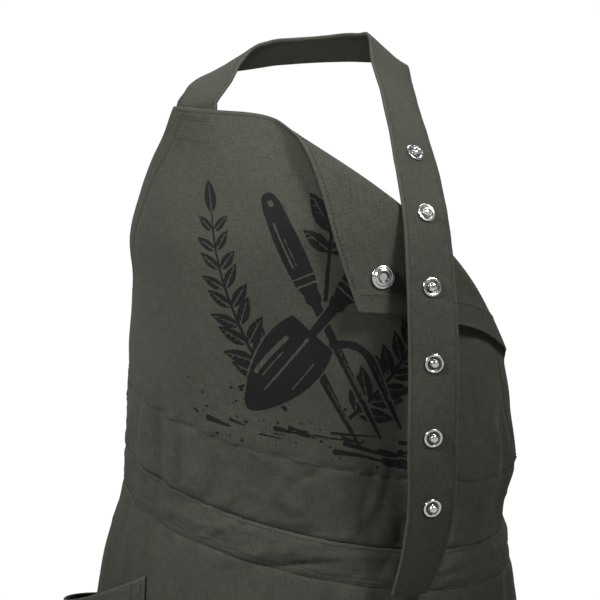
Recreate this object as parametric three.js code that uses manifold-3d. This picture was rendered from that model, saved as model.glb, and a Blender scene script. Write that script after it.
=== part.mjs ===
// A gardening apron of dark canvas, as it sits when worn: a tall bib whose top corner on one side has
// fallen forward, a waistband, a skirt with two patch pockets, and a neck strap that is sewn to the other
// corner, runs round the back of the neck and hangs down the front with its row of snap studs open.
// Millimetres, +Z up, the front of the apron faces -Y and +X is its right side as one looks at it.

import * as THREE from 'three';
import { mergeVertices } from 'three/addons/utils/BufferGeometryUtils.js';
import Module from 'manifold-3d';

const wasm = await Module();
wasm.setup();

// Body that the apron is worn on, at the waist seam
const BODY_HALF_WIDTH = 136;
const BODY_HALF_DEPTH = 96;

// Cloth
const CLOTH = 1.2;
const GAP = 0.3;

// Bib
const BIB_HEIGHT = 269;
const BIB_TOP_WIDTH = 220;
const BIB_SIDE_FLARE = 110;
const BIB_TOP_SLOPE = THREE.MathUtils.degToRad(11.3);
const BIB_TOP_ARCH = 5;

// Rise of the top edge where it meets the fold: how high, how far before the fold, and how wide
const TOP_RISE = 8.5;
const TOP_RISE_BEFORE = 10;
const TOP_RISE_REACH = 36;

// Folded corner of the bib: where the fold starts and ends, and how it rolls
const FLAP_ALONG_TOP = 125;
const FLAP_ALONG_SIDE = 127;
const FOLD_RADIUS_TOP = 6;
const FOLD_RADIUS_SIDE = 2.6;
const FOLD_BOW = 13;
const FOLD_BOW_REACH = 22;
const FLAP_OPENING = 9;

// Waist seam: how far it drops to the right side, dips at the front, and sits off the middle
const SEAM_DROP = 29.5;
const SEAM_DIP = 20;
const WAIST_SHIFT = -22;

// Waistband and skirt
const BAND_HEIGHT = 27;
const BAND_THICKNESS = 1.8;
const SKIRT_LENGTH = 450;
const SKIRT_FLARE = 1.1;
const SKIRT_FOLDS = 9;
const SKIRT_FOLD_DEPTH = 5;
const SKIRT_FOLD_DRIFT = 0.8;
const SKIRT_DRIFT_WAVES = 3;
const SKIRT_ROW_SPREAD = 1.15;

// Patch pockets on the skirt, whose slanting mouths run down toward the sides
const POCKET_WIDTH = 122;
const POCKET_DEPTH = 210;
const POCKET_SLANT = 66;
const POCKET_BELOW_SEAM = 66;
const POCKET_FROM_MIDDLE = 156;
const POCKET_GAPE = 24;
const POCKET_GAPE_ROUND = 0.8;
const POCKET_GAPE_FALL = 1.6;
const POCKET_SEAT = 0.9;

// Neck strap
const STRAP_WIDTH = 34;
const STRAP_THICKNESS = 2;
const STRAP_FOOT = 25;
const STRAP_ABOVE_FOOT = 3.5;
const STRAP_SEAT = 0.8;
const STRAP_CORNER_INSET = 2;

// Snap fasteners: studs on the strap, one socket in the corner of the bib
const STUD_COUNT = 6;
const STUD_PITCH = 50.5;
const STUD_FROM_END = 66;
const STUD_FLANGE_RADIUS = 6.4;
const STUD_RIM = 1;
const STUD_BALL_RADIUS = 2.9;
const STUD_BALL_HEIGHT = 3.6;
const STUD_POST_RADIUS = 2;
const STUD_SEAT = 0.5;
const SOCKET_RADIUS = 7.9;
const SOCKET_HEIGHT = 2.4;
const SOCKET_HOLE_RADIUS = 3.3;
const SOCKET_SEAT = 0.7;
const SOCKET_FROM_TOP = 21;
const SOCKET_FROM_SIDE = 25.4;
const SNAP_SIDES = 12;

// Turned steps of the snap's metal, as shares of the stud's flange and ball and of the socket
const FLANGE_CAP = 0.8;
const FLANGE_LIP = 0.88;
const FLANGE_DISH = 0.7;
const BALL_NECK = 0.8;
const BALL_TOP = 0.6;
const SOCKET_CAP = 0.8;
const SOCKET_CAP_EDGE = 0.9;
const SOCKET_SHOULDER = 0.84;
const SOCKET_SHOULDER_LEVEL = 0.45;
const SOCKET_RING = 0.7;
const SOCKET_FLOOR_LEVEL = 0.3;

// Ties round the back of the waist
const TIE_WIDTH = 25;
const TIE_THICKNESS = 1.6;
const TIE_LAP = 16;
const TIE_TAIL = 190;
const TAIL_GAP = 1;
const TAIL_SPREAD = 12;
const TAIL_UNEVEN = 10;
const TAIL_GATHER = 0.5;
const TAIL_GATHER_REACH = 0.3;
const KNOT_HALF_WIDTH = 17;
const KNOT_HALF_HEIGHT = 14;
const KNOT_HALF_DEPTH = 9;

// Sections of the worn body. Level is 1 at the top of the bib, 0 at the waist seam and -1 at the hem of
// the skirt; middle, halfWidth are shares of BODY_HALF_WIDTH, front and back of BODY_HALF_DEPTH.
const SECTION_COLUMNS = ['level', 'middle', 'halfWidth', 'front', 'back'];
const SECTIONS = [
  [1.12, 0.07, 0.82, 0.87, 0.87],
  [1.0, 0.09, 0.875, 0.99, 0.96],
  [0.87, 0.1, 0.955, 1.09, 1.01],
  [0.76, 0.1, 1.0, 1.15, 1.04],
  [0.6, 0.1, 0.975, 1.14, 1.03],
  [0.43, 0.098, 0.997, 1.1, 1.0],
  [0.29, 0.096, 1.01, 1.05, 0.98],
  [0.14, 0.098, 1.02, 1.01, 0.97],
  [0.02, 0.06, 1.015, 0.99, 0.98],
  [-0.05, 0.037, 1.06, 1.02, 1.04],
  [-0.11, 0.032, 1.098, 1.07, 1.1],
  [-0.25, 0.037, 1.16, 1.17, 1.23],
  [-0.55, 0.06, 1.22, 1.27, 1.31],
  [-1.06, 0.074, 1.27, 1.36, 1.36],
];

// Side edges of the bib as worn: down is a share of BIB_HEIGHT from the top corner, left and right are how
// far out the edges lie, as shares of BIB_SIDE_FLARE
const SIDE_EDGE_COLUMNS = ['down', 'left', 'right'];
const SIDE_EDGE = [
  [0, 0, 0],
  [0.11, 0.15, 0.07],
  [0.2, 0.27, 0.16],
  [0.29, 0.37, 0.27],
  [0.5, 0.58, 0.56],
  [0.75, 0.85, 0.84],
  [1, 1, 1],
];

// Dents and soft folds of the cloth. Across and length or width are shares of BODY_HALF_WIDTH measured
// round the body, up is a share of BIB_HEIGHT, turn is in degrees from upright, lift is in cloth walls.
const RELIEF_COLUMNS = ['across', 'up', 'length', 'width', 'turn', 'lift'];
const RELIEF = [
  [-1.0, 0.2, 0.24, 0.05, 2, 2.6],
  [-0.87, 0.18, 0.26, 0.045, -2, -2.2],
  [-0.78, 0.17, 0.3, 0.05, -3, 2.4],
  [-1.2, -0.1, 0.3, 0.09, 8, -3.5],
  [-0.72, -0.22, 0.34, 0.07, 4, 2.6],
  [-0.29, 0.22, 0.13, 0.04, -6, 1.4],
  [-0.12, 0.08, 0.12, 0.035, -48, 1.8],
  [0.12, 0.1, 0.12, 0.035, -40, 1.6],
  [-0.1, -0.03, 0.3, 0.035, 80, 1.8],
  [1.0, 0.16, 0.28, 0.05, 3, 2.6],
  [1.14, 0.14, 0.26, 0.045, 0, -2.4],
  [1.28, 0.15, 0.3, 0.05, -2, 2.6],
  [-0.35, 0.72, 0.4, 0.2, 35, 2.5],
  [-0.9, 0.8, 0.2, 0.2, 0, 2.2],
];

// Neck strap past its sewn foot, at its middle. Across is a share of BODY_HALF_WIDTH, out of
// BODY_HALF_DEPTH and up of BIB_HEIGHT; facing and lean turn the line from its neck side to its other
// edge: facing is its bearing in degrees from +X toward +Y, and lean its drop below level.
const STRAP_COLUMNS = ['across', 'out', 'up', 'facing', 'lean'];
const STRAP_PATH = [
  [-0.475, -0.5, 1.123, 127, -8],
  [-0.42, -0.25, 1.162, 140, 12],
  [-0.345, 0.04, 1.19, 142, 28],
  [-0.25, 0.38, 1.199, 138, 36],
  [-0.12, 0.62, 1.206, 110, 34],
  [0.06, 0.72, 1.212, 90, 33],
  [0.24, 0.64, 1.218, 70, 34],
  [0.39, 0.34, 1.221, 40, 36],
  [0.45, 0.0, 1.214, 12, 40],
  [0.475, -0.17, 1.158, 28, 24],
  [0.511, -0.4, 1.087, 46, 8],
  [0.556, -0.67, 0.993, 42, 2],
  [0.612, -1.1, 0.828, 30, 0],
  [0.637, -1.27, 0.659, 19, 0],
  [0.651, -1.31, 0.47, 11, 0],
  [0.649, -1.29, 0.279, 15, 0],
  [0.649, -1.19, 0.086, 20, 0],
  [0.614, -1.13, -0.032, 27, -4],
  [0.549, -1.08, -0.141, 38, -8],
];

// Smooth value of every column of a table at a place along its first column
function smoothRow(rows, at) {
  const rising = rows[1][0] > rows[0][0];
  let i = rows.findIndex((row) => (rising ? row[0] >= at : row[0] <= at));
  if (i < 0) i = rows.length - 1;
  i = Math.max(i, 1);
  const before = rows[Math.max(i - 2, 0)];
  const from = rows[i - 1];
  const to = rows[i];
  const after = rows[Math.min(i + 1, rows.length - 1)];
  const span = to[0] - from[0];
  const t = THREE.MathUtils.clamp((at - from[0]) / span, 0, 1);
  return from.map((value, column) => {
    const startSlope = (span * (to[column] - before[column])) / (to[0] - before[0]);
    const endSlope = (span * (after[column] - value)) / (after[0] - from[0]);
    const t2 = t * t;
    const t3 = t2 * t;
    return (2 * t3 - 3 * t2 + 1) * value + (t3 - 2 * t2 + t) * startSlope
      + (3 * t2 - 2 * t3) * to[column] + (t3 - t2) * endSlope;
  });
}

// One row of a table as an object whose keys are the table's column names
function named(columns, row) {
  return Object.fromEntries(columns.map((name, i) => [name, row[i]]));
}

// Level section of the body at a height above the waist seam
function sectionAt(height) {
  const level = height > 0 ? height / BIB_HEIGHT : height / SKIRT_LENGTH;
  const share = named(SECTION_COLUMNS, smoothRow(SECTIONS, level));
  return {
    middle: share.middle * BODY_HALF_WIDTH,
    halfWidth: share.halfWidth * BODY_HALF_WIDTH,
    front: share.front * BODY_HALF_DEPTH,
    back: share.back * BODY_HALF_DEPTH,
  };
}

// Angle from the middle of the front that lies a given distance round a section
function angleRound(distance, section) {
  const step = THREE.MathUtils.degToRad(1.5);
  let angle = 0;
  let left = Math.abs(distance);
  while (left > 0) {
    const middle = angle + step / 2;
    const depth = Math.cos(middle) > 0 ? section.front : section.back;
    const length = step * Math.hypot(section.halfWidth * Math.cos(middle), depth * Math.sin(middle));
    angle += step * Math.min(left / length, 1);
    left -= length;
  }
  return Math.sign(distance) * angle;
}

// Lift of the cloth off the body from the table of dents and folds
function reliefAt(round, height) {
  let lift = 0;
  for (const row of RELIEF) {
    const fold = named(RELIEF_COLUMNS, row);
    const turn = THREE.MathUtils.degToRad(fold.turn);
    const dx = round / BODY_HALF_WIDTH - fold.across;
    const dz = (height - fold.up * BIB_HEIGHT) / BODY_HALF_WIDTH;
    const along = (dz * Math.cos(turn) + dx * Math.sin(turn)) / fold.length;
    const aside = (dx * Math.cos(turn) - dz * Math.sin(turn)) / fold.width;
    lift += fold.lift * CLOTH * Math.exp(-along * along - aside * aside);
  }
  return lift;
}

// Point of the worn cloth: round is the distance round the body, positive to +X
function bodyPoint(round, height, lift) {
  const section = sectionAt(height);
  const angle = angleRound(round, section);
  const depth = Math.cos(angle) > 0 ? section.front : section.back;
  const outward = new THREE.Vector3(depth * Math.sin(angle), -section.halfWidth * Math.cos(angle), 0);
  const point = new THREE.Vector3(
    section.middle + section.halfWidth * Math.sin(angle),
    -depth * Math.cos(angle),
    height,
  );
  return point.addScaledVector(outward.normalize(), lift + reliefAt(round, height));
}

// Height of the waist seam at a distance round the body
function seamHeight(round) {
  const angle = angleRound(round, sectionAt(0));
  return SEAM_DIP * (1 - Math.cos(angle)) - SEAM_DROP * Math.sin(angle);
}

// Distance from the middle of the bib to one of its side edges at a height above the waist seam
function bibHalfWidth(height, side = 'right') {
  const edge = named(SIDE_EDGE_COLUMNS, smoothRow(SIDE_EDGE, 1 - height / BIB_HEIGHT));
  return BIB_TOP_WIDTH / 2 + edge[side] * BIB_SIDE_FLARE;
}

const FOLD_START_ACROSS = BIB_TOP_WIDTH / 2 - FLAP_ALONG_TOP;
const FOLD_END_HEIGHT = BIB_HEIGHT - FLAP_ALONG_SIDE;

// Rise of the bib's top edge over a straight one: highest just before the fold, falling past it to the
// corner that folds
function topRise(across) {
  const archShare = THREE.MathUtils.clamp(
    (across + BIB_TOP_WIDTH / 2) / (FOLD_START_ACROSS + BIB_TOP_WIDTH / 2), 0, 1);
  const before = Math.min(across - FOLD_START_ACROSS, 0) + TOP_RISE_BEFORE;
  const past = THREE.MathUtils.clamp((across - FOLD_START_ACROSS) / FLAP_ALONG_TOP, 0, 1);
  return BIB_TOP_ARCH * Math.sin(Math.PI * archShare)
    + TOP_RISE * Math.exp(-((before / TOP_RISE_REACH) ** 2)) * (1 - past);
}

// Flat place on the bib, laid on the unrolled body before the corner folds: x round it, y up
function layBib(across, height) {
  const share = height / BIB_HEIGHT;
  const top = new THREE.Vector2(
    across * Math.cos(BIB_TOP_SLOPE),
    BIB_HEIGHT - across * Math.sin(BIB_TOP_SLOPE) + topRise(across) * share,
  );
  const seamAcross = WAIST_SHIFT + across;
  return new THREE.Vector2(seamAcross, seamHeight(seamAcross)).lerp(top, share);
}

const FOLD_START = layBib(FOLD_START_ACROSS, BIB_HEIGHT);
const FOLD_END = layBib(bibHalfWidth(FOLD_END_HEIGHT), FOLD_END_HEIGHT);
const FOLD_LENGTH = FOLD_START.distanceTo(FOLD_END);
const FOLD_ALONG = FOLD_END.clone().sub(FOLD_START).normalize();
const FOLD_ACROSS = new THREE.Vector2(-FOLD_ALONG.y, FOLD_ALONG.x);

// Distance of a flat place past the fold line, positive on the corner's side
function pastFold(across, height) {
  return layBib(across, height).sub(FOLD_START).dot(FOLD_ACROSS);
}

function foldRadius(share) {
  return THREE.MathUtils.lerp(FOLD_RADIUS_TOP, FOLD_RADIUS_SIDE, THREE.MathUtils.clamp(share, 0, 1));
}

// Where a flat place of the bib is when worn, with the corner rolled over the fold line
function bibPoint(across, height, lift = 0) {
  const laid = layBib(across, height);
  const offset = laid.clone().sub(FOLD_START);
  const past = offset.dot(FOLD_ACROSS);
  const share = offset.dot(FOLD_ALONG) / FOLD_LENGTH;
  const radius = foldRadius(share);
  const roll = Math.PI * radius;
  const bow = FOLD_BOW * Math.sin(Math.PI * THREE.MathUtils.clamp(share, 0, 1));
  let reach = past;
  let rise = 0;
  let side = 1;
  if (past > roll / 2) {
    reach = -past;
    const open = THREE.MathUtils.clamp((past - roll / 2) / (FLAP_ALONG_TOP / 2), 0, 1);
    rise = 2 * radius + FLAP_OPENING * open * open;
    side = -1;
  } else if (past > -roll / 2) {
    const angle = (past + roll / 2) / radius;
    reach = radius * Math.sin(angle) - roll / 2;
    rise = radius * (1 - Math.cos(angle));
    side = Math.cos(angle);
  }
  const shift = reach - past + bow * Math.exp(-((reach / FOLD_BOW_REACH) ** 2));
  laid.addScaledVector(FOLD_ACROSS, shift);
  return bodyPoint(laid.x, laid.y, rise + side * lift);
}

// Closed solid from a sheet of points and triangles that face outward, with cloth on both sides of it
function thicken(points, triangles, thickness) {
  const normals = points.map(() => new THREE.Vector3());
  const edges = new Map();
  for (const [a, b, c] of triangles) {
    const normal = points[b].clone().sub(points[a]).cross(points[c].clone().sub(points[a]));
    for (const i of [a, b, c]) normals[i].add(normal);
    for (const [from, to] of [[a, b], [b, c], [c, a]]) {
      if (!edges.delete(`${to} ${from}`)) edges.set(`${from} ${to}`, [from, to]);
    }
  }
  const count = points.length;
  const positions = [];
  for (const side of [1, -1]) {
    points.forEach((point, i) => {
      const shift = normals[i].clone().normalize().multiplyScalar((side * thickness) / 2);
      positions.push(...point.clone().add(shift).toArray());
    });
  }
  const index = [];
  for (const [a, b, c] of triangles) index.push(a, b, c, count + a, count + c, count + b);
  for (const [from, to] of edges.values()) {
    index.push(from, count + from, to, to, count + from, count + to);
  }
  const geometry = new THREE.BufferGeometry();
  geometry.setAttribute('position', new THREE.Float32BufferAttribute(positions, 3));
  geometry.setIndex(index);
  return geometry;
}

// Sheet of cloth over a grid: pointAt takes two shares from 0 to 1, across and down
function clothGrid(columns, rows, thickness, pointAt) {
  const points = [];
  const triangles = [];
  for (let row = 0; row <= rows; row += 1) {
    for (let column = 0; column <= columns; column += 1) {
      points.push(pointAt(column / columns, row / rows));
      if (row === rows || column === columns) continue;
      const a = row * (columns + 1) + column;
      const below = a + columns + 1;
      triangles.push([a, below, below + 1], [a, below + 1, a + 1]);
    }
  }
  return thicken(points, triangles, thickness);
}

function solidOf(geometry) {
  const plain = geometry.clone();
  plain.deleteAttribute('normal');
  plain.deleteAttribute('uv');
  const merged = mergeVertices(plain, 1e-4);
  return new wasm.Manifold(new wasm.Mesh({
    numProp: 3,
    vertProperties: new Float32Array(merged.attributes.position.array),
    triVerts: new Uint32Array(merged.index.array),
  }));
}

function geometryOf(solid) {
  const mesh = solid.getMesh();
  const geometry = new THREE.BufferGeometry();
  geometry.setAttribute('position', new THREE.BufferAttribute(new Float32Array(mesh.vertProperties), 3));
  geometry.setIndex(new THREE.BufferAttribute(new Uint32Array(mesh.triVerts), 1));
  return geometry;
}

// Straight round hole through a wall, about a place whose local +Z leaves the wall
function cutHole(geometry, places, radius, depth) {
  let solid = solidOf(geometry);
  for (const place of places) {
    const drill = new THREE.CylinderGeometry(radius, radius, depth, SNAP_SIDES);
    drill.rotateX(Math.PI / 2);
    drill.applyMatrix4(place);
    solid = solid.subtract(solidOf(drill));
  }
  return geometryOf(solid);
}

// Frame at a point with +Z along a normal and +X as near as can be to a wanted direction
function placeAt(point, normal, toward) {
  const z = normal.clone().normalize();
  const y = z.clone().cross(toward).normalize();
  const x = y.clone().cross(z);
  return new THREE.Matrix4().makeBasis(x, y, z).setPosition(point);
}

const canvas = new THREE.MeshStandardMaterial({ color: 0x4c4d45, roughness: 0.95, metalness: 0 });
const webbing = new THREE.MeshStandardMaterial({ color: 0x474942, roughness: 0.95, metalness: 0 });
const nickel = new THREE.MeshStandardMaterial({ color: 0xd2d2d0, roughness: 0.22, metalness: 1 });

const apron = new THREE.Group();

function addPiece(name, geometry, material) {
  const mesh = new THREE.Mesh(geometry, material);
  mesh.name = name;
  apron.add(mesh);
  return mesh;
}

// Bib: one sheet, whose rows run from its side edge at -X to the fold line or the other side edge, and
// above the fold's end go on over the roll into the folded corner
const BIB_COLUMNS = 22;
const BIB_ROWS_LOW = 7;
const BIB_ROWS_HIGH = 9;
const ROLL_COLUMNS = 5;
const FLAP_COLUMNS = 9;

// Distance across a row of the bib at which it lies a given distance past the fold
function acrossPastFold(height, past) {
  let low = -BIB_TOP_WIDTH;
  let high = BIB_TOP_WIDTH * 2;
  for (let turn = 0; turn < 40; turn += 1) {
    const middle = (low + high) / 2;
    if (pastFold(middle, height) < past) low = middle;
    else high = middle;
  }
  return (low + high) / 2;
}

function bibSheet() {
  const points = [];
  const triangles = [];
  const rows = [];
  const heights = [];
  for (let i = 0; i < BIB_ROWS_LOW; i += 1) heights.push((FOLD_END_HEIGHT * i) / BIB_ROWS_LOW);
  for (let i = 0; i <= BIB_ROWS_HIGH; i += 1) {
    heights.push(FOLD_END_HEIGHT + (FLAP_ALONG_SIDE * i) / BIB_ROWS_HIGH);
  }
  heights[0] = GAP / 2;
  heights.forEach((height) => {
    const half = bibHalfWidth(height);
    const start = -bibHalfWidth(height, 'left');
    const furthest = pastFold(half, height);
    const onFold = layBib(acrossPastFold(height, 0), height);
    const foldShare = onFold.sub(FOLD_START).dot(FOLD_ALONG) / FOLD_LENGTH;
    const halfRoll = (Math.PI * foldRadius(foldShare)) / 2;
    const folded = furthest > -halfRoll;
    const end = folded ? acrossPastFold(height, -halfRoll) : half;
    const row = [];
    for (let i = 0; i <= BIB_COLUMNS; i += 1) {
      row.push(points.length);
      points.push(bibPoint(THREE.MathUtils.lerp(start, end, i / BIB_COLUMNS), height));
    }
    const count = ROLL_COLUMNS + FLAP_COLUMNS;
    const rollEnd = Math.min(halfRoll, THREE.MathUtils.lerp(-halfRoll, furthest, ROLL_COLUMNS / count));
    for (let i = 1; i <= count; i += 1) {
      if (!folded) {
        row.push(row[BIB_COLUMNS]);
        continue;
      }
      const past = i <= ROLL_COLUMNS
        ? THREE.MathUtils.lerp(-halfRoll, rollEnd, i / ROLL_COLUMNS)
        : THREE.MathUtils.lerp(rollEnd, furthest, (i - ROLL_COLUMNS) / FLAP_COLUMNS);
      row.push(points.length);
      points.push(bibPoint(i === count ? half : acrossPastFold(height, past), height));
    }
    rows.push(row);
  });
  for (let level = 1; level < rows.length; level += 1) {
    const above = rows[level];
    const below = rows[level - 1];
    for (let i = 1; i < above.length; i += 1) {
      if (below[i - 1] !== below[i]) triangles.push([above[i - 1], below[i - 1], below[i]]);
      if (above[i - 1] !== above[i]) triangles.push([above[i - 1], below[i], above[i]]);
    }
  }
  return thicken(points, triangles, CLOTH);
}

// Place of the socket in the corner of the bib, on the reverse side of its cloth
const socketHeight = BIB_HEIGHT - SOCKET_FROM_TOP;
const socketAcross = bibHalfWidth(socketHeight) - SOCKET_FROM_SIDE;
const socketPoint = bibPoint(socketAcross, socketHeight);
const socketRight = bibPoint(socketAcross - SOCKET_RADIUS, socketHeight).sub(socketPoint);
const socketUp = bibPoint(socketAcross, socketHeight - SOCKET_RADIUS).sub(socketPoint);
const socketPlace = placeAt(socketPoint, socketUp.clone().cross(socketRight), socketRight);

const holeRadius = STUD_POST_RADIUS + GAP;
const bib = cutHole(bibSheet(), [socketPlace], holeRadius, CLOTH * 6);
addPiece('bib', bib, canvas);

// Waistband: a doubled strip that the bib and the skirt are sewn to
const bandHalf = bibHalfWidth(0);

function hipPoint(across, below, lift) {
  const flare = 1 + (SKIRT_FLARE - 1) * (below / SKIRT_LENGTH);
  const round = WAIST_SHIFT + across * flare;
  return bodyPoint(round, seamHeight(WAIST_SHIFT + across) - below, lift);
}

const BAND_COLUMNS = 40;
const BAND_ROWS = 2;
const bandTop = GAP / 2;
const band = clothGrid(BAND_COLUMNS, BAND_ROWS, BAND_THICKNESS, (u, v) => hipPoint(
  THREE.MathUtils.lerp(-bandHalf, bandHalf, u),
  THREE.MathUtils.lerp(bandTop, BAND_HEIGHT - GAP / 2, v),
  0,
));
addPiece('waistband', band, canvas);

// Skirt: hangs from the waistband and falls into soft folds that deepen toward its hem
const SKIRT_COLUMNS = 48;
const SKIRT_ROWS = 13;

function skirtLift(across, below) {
  const share = THREE.MathUtils.clamp(below / SKIRT_LENGTH, 0, 1);
  const place = across / bandHalf;
  const drift = SKIRT_FOLD_DRIFT * Math.sin(SKIRT_DRIFT_WAVES * place);
  return SKIRT_FOLD_DEPTH * share * Math.cos(Math.PI * SKIRT_FOLDS * place + drift);
}

const skirt = clothGrid(SKIRT_COLUMNS, SKIRT_ROWS, CLOTH, (u, v) => {
  const across = THREE.MathUtils.lerp(-bandHalf, bandHalf, u);
  const down = v ** SKIRT_ROW_SPREAD;
  const below = THREE.MathUtils.lerp(BAND_HEIGHT + GAP / 2, BAND_HEIGHT + SKIRT_LENGTH, down);
  return hipPoint(across, below, skirtLift(across, below));
});
addPiece('skirt', skirt, canvas);

// Patch pockets: sewn down at the sides and foot, with a mouth that gapes
const POCKET_COLUMNS = 12;
const POCKET_ROWS = 9;

function pocketSheet(side) {
  return clothGrid(POCKET_COLUMNS, POCKET_ROWS, CLOTH, (u, v) => {
    const across = side * POCKET_FROM_MIDDLE + (u - 0.5) * POCKET_WIDTH;
    const fromFront = side > 0 ? u : 1 - u;
    const mouth = POCKET_SLANT * fromFront + (POCKET_GAPE / 2) * Math.sin(Math.PI * u);
    const below = POCKET_BELOW_SEAM + THREE.MathUtils.lerp(mouth, POCKET_DEPTH, v);
    const gape = POCKET_GAPE * Math.sin(Math.PI * u) ** POCKET_GAPE_ROUND * (1 - v ** POCKET_GAPE_FALL);
    return hipPoint(across, below, skirtLift(across, below) + CLOTH + POCKET_SEAT + gape);
  });
}

addPiece('pocket_left', pocketSheet(-1), canvas);
addPiece('pocket_right', pocketSheet(1), canvas);

// Neck strap: its foot is sewn behind the bib's corner, the rest follows the table
const footAcross = -BIB_TOP_WIDTH / 2 + STRAP_CORNER_INSET + STRAP_WIDTH / 2;
const footLift = -(CLOTH + STRAP_THICKNESS) / 2 - STRAP_SEAT;
const FOOT_ROWS = [-STRAP_FOOT, -STRAP_FOOT / 2, 0, STRAP_ABOVE_FOOT];

const strapNodes = FOOT_ROWS.map((above) => {
  const height = BIB_HEIGHT + above;
  const inner = bibPoint(footAcross + STRAP_WIDTH / 2, height, footLift);
  const outer = bibPoint(footAcross - STRAP_WIDTH / 2, height, footLift);
  return { middle: inner.clone().lerp(outer, 0.5), width: outer.sub(inner).normalize() };
});
for (const row of STRAP_PATH) {
  const station = named(STRAP_COLUMNS, row);
  const facing = THREE.MathUtils.degToRad(station.facing);
  const lean = THREE.MathUtils.degToRad(station.lean);
  strapNodes.push({
    middle: new THREE.Vector3(
      station.across * BODY_HALF_WIDTH,
      station.out * BODY_HALF_DEPTH,
      station.up * BIB_HEIGHT,
    ),
    width: new THREE.Vector3(
      Math.cos(facing) * Math.cos(lean),
      Math.sin(facing) * Math.cos(lean),
      -Math.sin(lean),
    ),
  });
}
const strapCurve = new THREE.CatmullRomCurve3(strapNodes.map((node) => node.middle), false, 'centripetal');
const widthCurve = new THREE.CatmullRomCurve3(strapNodes.map((node) => node.width), false, 'catmullrom');
const strapLength = strapCurve.getLength();

// Middle, width direction and outward normal of the strap at a parameter of its curve
function strapFrame(t) {
  const tangent = strapCurve.getTangent(t);
  const width = widthCurve.getPoint(t);
  width.addScaledVector(tangent, -width.dot(tangent)).normalize();
  return { middle: strapCurve.getPoint(t), width, normal: tangent.clone().cross(width) };
}

// The same at a share of the strap's length
function strapAt(share) {
  return strapFrame(strapCurve.getUtoTmapping(share));
}

const STRAP_STEPS = 66;
const STRAP_COLUMNS_ACROSS = 4;
const strapSheet = clothGrid(STRAP_COLUMNS_ACROSS, STRAP_STEPS, STRAP_THICKNESS, (u, v) => {
  const station = strapAt(v);
  return station.middle.addScaledVector(station.width, (0.5 - u) * STRAP_WIDTH);
});

const studPlaces = [];
for (let i = 0; i < STUD_COUNT; i += 1) {
  const station = strapAt(1 - (STUD_FROM_END + i * STUD_PITCH) / strapLength);
  studPlaces.unshift(placeAt(station.middle, station.normal, station.width));
}
addPiece('neck_strap', cutHole(strapSheet, studPlaces, holeRadius, STRAP_THICKNESS * 4), webbing);

// Ball stud, one solid through the strap: a cap behind, a post, a dished flange and the ball
function studGeometry() {
  const front = STRAP_THICKNESS / 2 + STUD_SEAT;
  const rim = front + STUD_RIM;
  const neck = STUD_BALL_RADIUS * BALL_NECK;
  const ballMiddle = front + STUD_BALL_HEIGHT - neck;
  const profile = [
    [0, -front - STUD_RIM],
    [STUD_FLANGE_RADIUS * FLANGE_CAP, -front - STUD_RIM],
    [STUD_FLANGE_RADIUS, -front - STUD_RIM / 2],
    [STUD_FLANGE_RADIUS, -front],
    [STUD_POST_RADIUS, -front],
    [STUD_POST_RADIUS, front],
    [STUD_FLANGE_RADIUS, front],
    [STUD_FLANGE_RADIUS, rim - STUD_RIM / 3],
    [STUD_FLANGE_RADIUS * FLANGE_LIP, rim],
    [STUD_FLANGE_RADIUS * FLANGE_DISH, rim - STUD_RIM / 2],
    [neck, rim - STUD_RIM / 2],
    [STUD_BALL_RADIUS, ballMiddle],
    [STUD_BALL_RADIUS * BALL_TOP, front + STUD_BALL_HEIGHT],
    [0, front + STUD_BALL_HEIGHT],
  ];
  const stud = new THREE.LatheGeometry(profile.map(([r, y]) => new THREE.Vector2(r, y)), SNAP_SIDES);
  stud.rotateX(Math.PI / 2);
  return stud;
}

studPlaces.forEach((place, i) => {
  const stud = addPiece(`snap_stud_${i + 1}`, geometryOf(solidOf(studGeometry())), nickel);
  place.decompose(stud.position, stud.quaternion, stud.scale);
});

// Socket, one solid through the bib's corner: a cap on the face side, a post, and a ring with a blind
// hole that a ball stud presses into
function socketGeometry() {
  const front = CLOTH / 2 + SOCKET_SEAT;
  const top = front + SOCKET_HEIGHT;
  const floor = front + SOCKET_HEIGHT * SOCKET_FLOOR_LEVEL;
  const profile = [
    [0, -front - STUD_RIM],
    [SOCKET_RADIUS * SOCKET_CAP, -front - STUD_RIM],
    [SOCKET_RADIUS * SOCKET_CAP_EDGE, -front],
    [STUD_POST_RADIUS, -front],
    [STUD_POST_RADIUS, front],
    [SOCKET_RADIUS, front],
    [SOCKET_RADIUS, floor],
    [SOCKET_RADIUS * SOCKET_SHOULDER, front + SOCKET_HEIGHT * SOCKET_SHOULDER_LEVEL],
    [SOCKET_RADIUS * SOCKET_RING, top],
    [SOCKET_HOLE_RADIUS, top],
    [SOCKET_HOLE_RADIUS, floor],
    [0, floor],
  ];
  const socket = new THREE.LatheGeometry(profile.map(([r, y]) => new THREE.Vector2(r, y)), SNAP_SIDES);
  socket.rotateX(Math.PI / 2);
  return socket;
}

const socket = addPiece('snap_socket', geometryOf(solidOf(socketGeometry())), nickel);
socketPlace.decompose(socket.position, socket.quaternion, socket.scale);

// Waist ties: sewn behind the ends of the waistband, they meet in a knot at the back and hang from it
const knotHeight = SEAM_DIP * 2 - BAND_HEIGHT / 2;
const tieLift = -(BAND_THICKNESS + TIE_THICKNESS) / 2 - GAP;
const TIE_COLUMNS = 16;

// Distance round the body from the middle of the front to the middle of the back
function halfRound(height) {
  let reach = BODY_HALF_WIDTH;
  while (angleRound(reach, sectionAt(height)) < Math.PI) reach += GAP;
  return reach;
}

const backReach = halfRound(knotHeight);
const knotMiddle = bodyPoint(backReach, knotHeight, tieLift);

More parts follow.
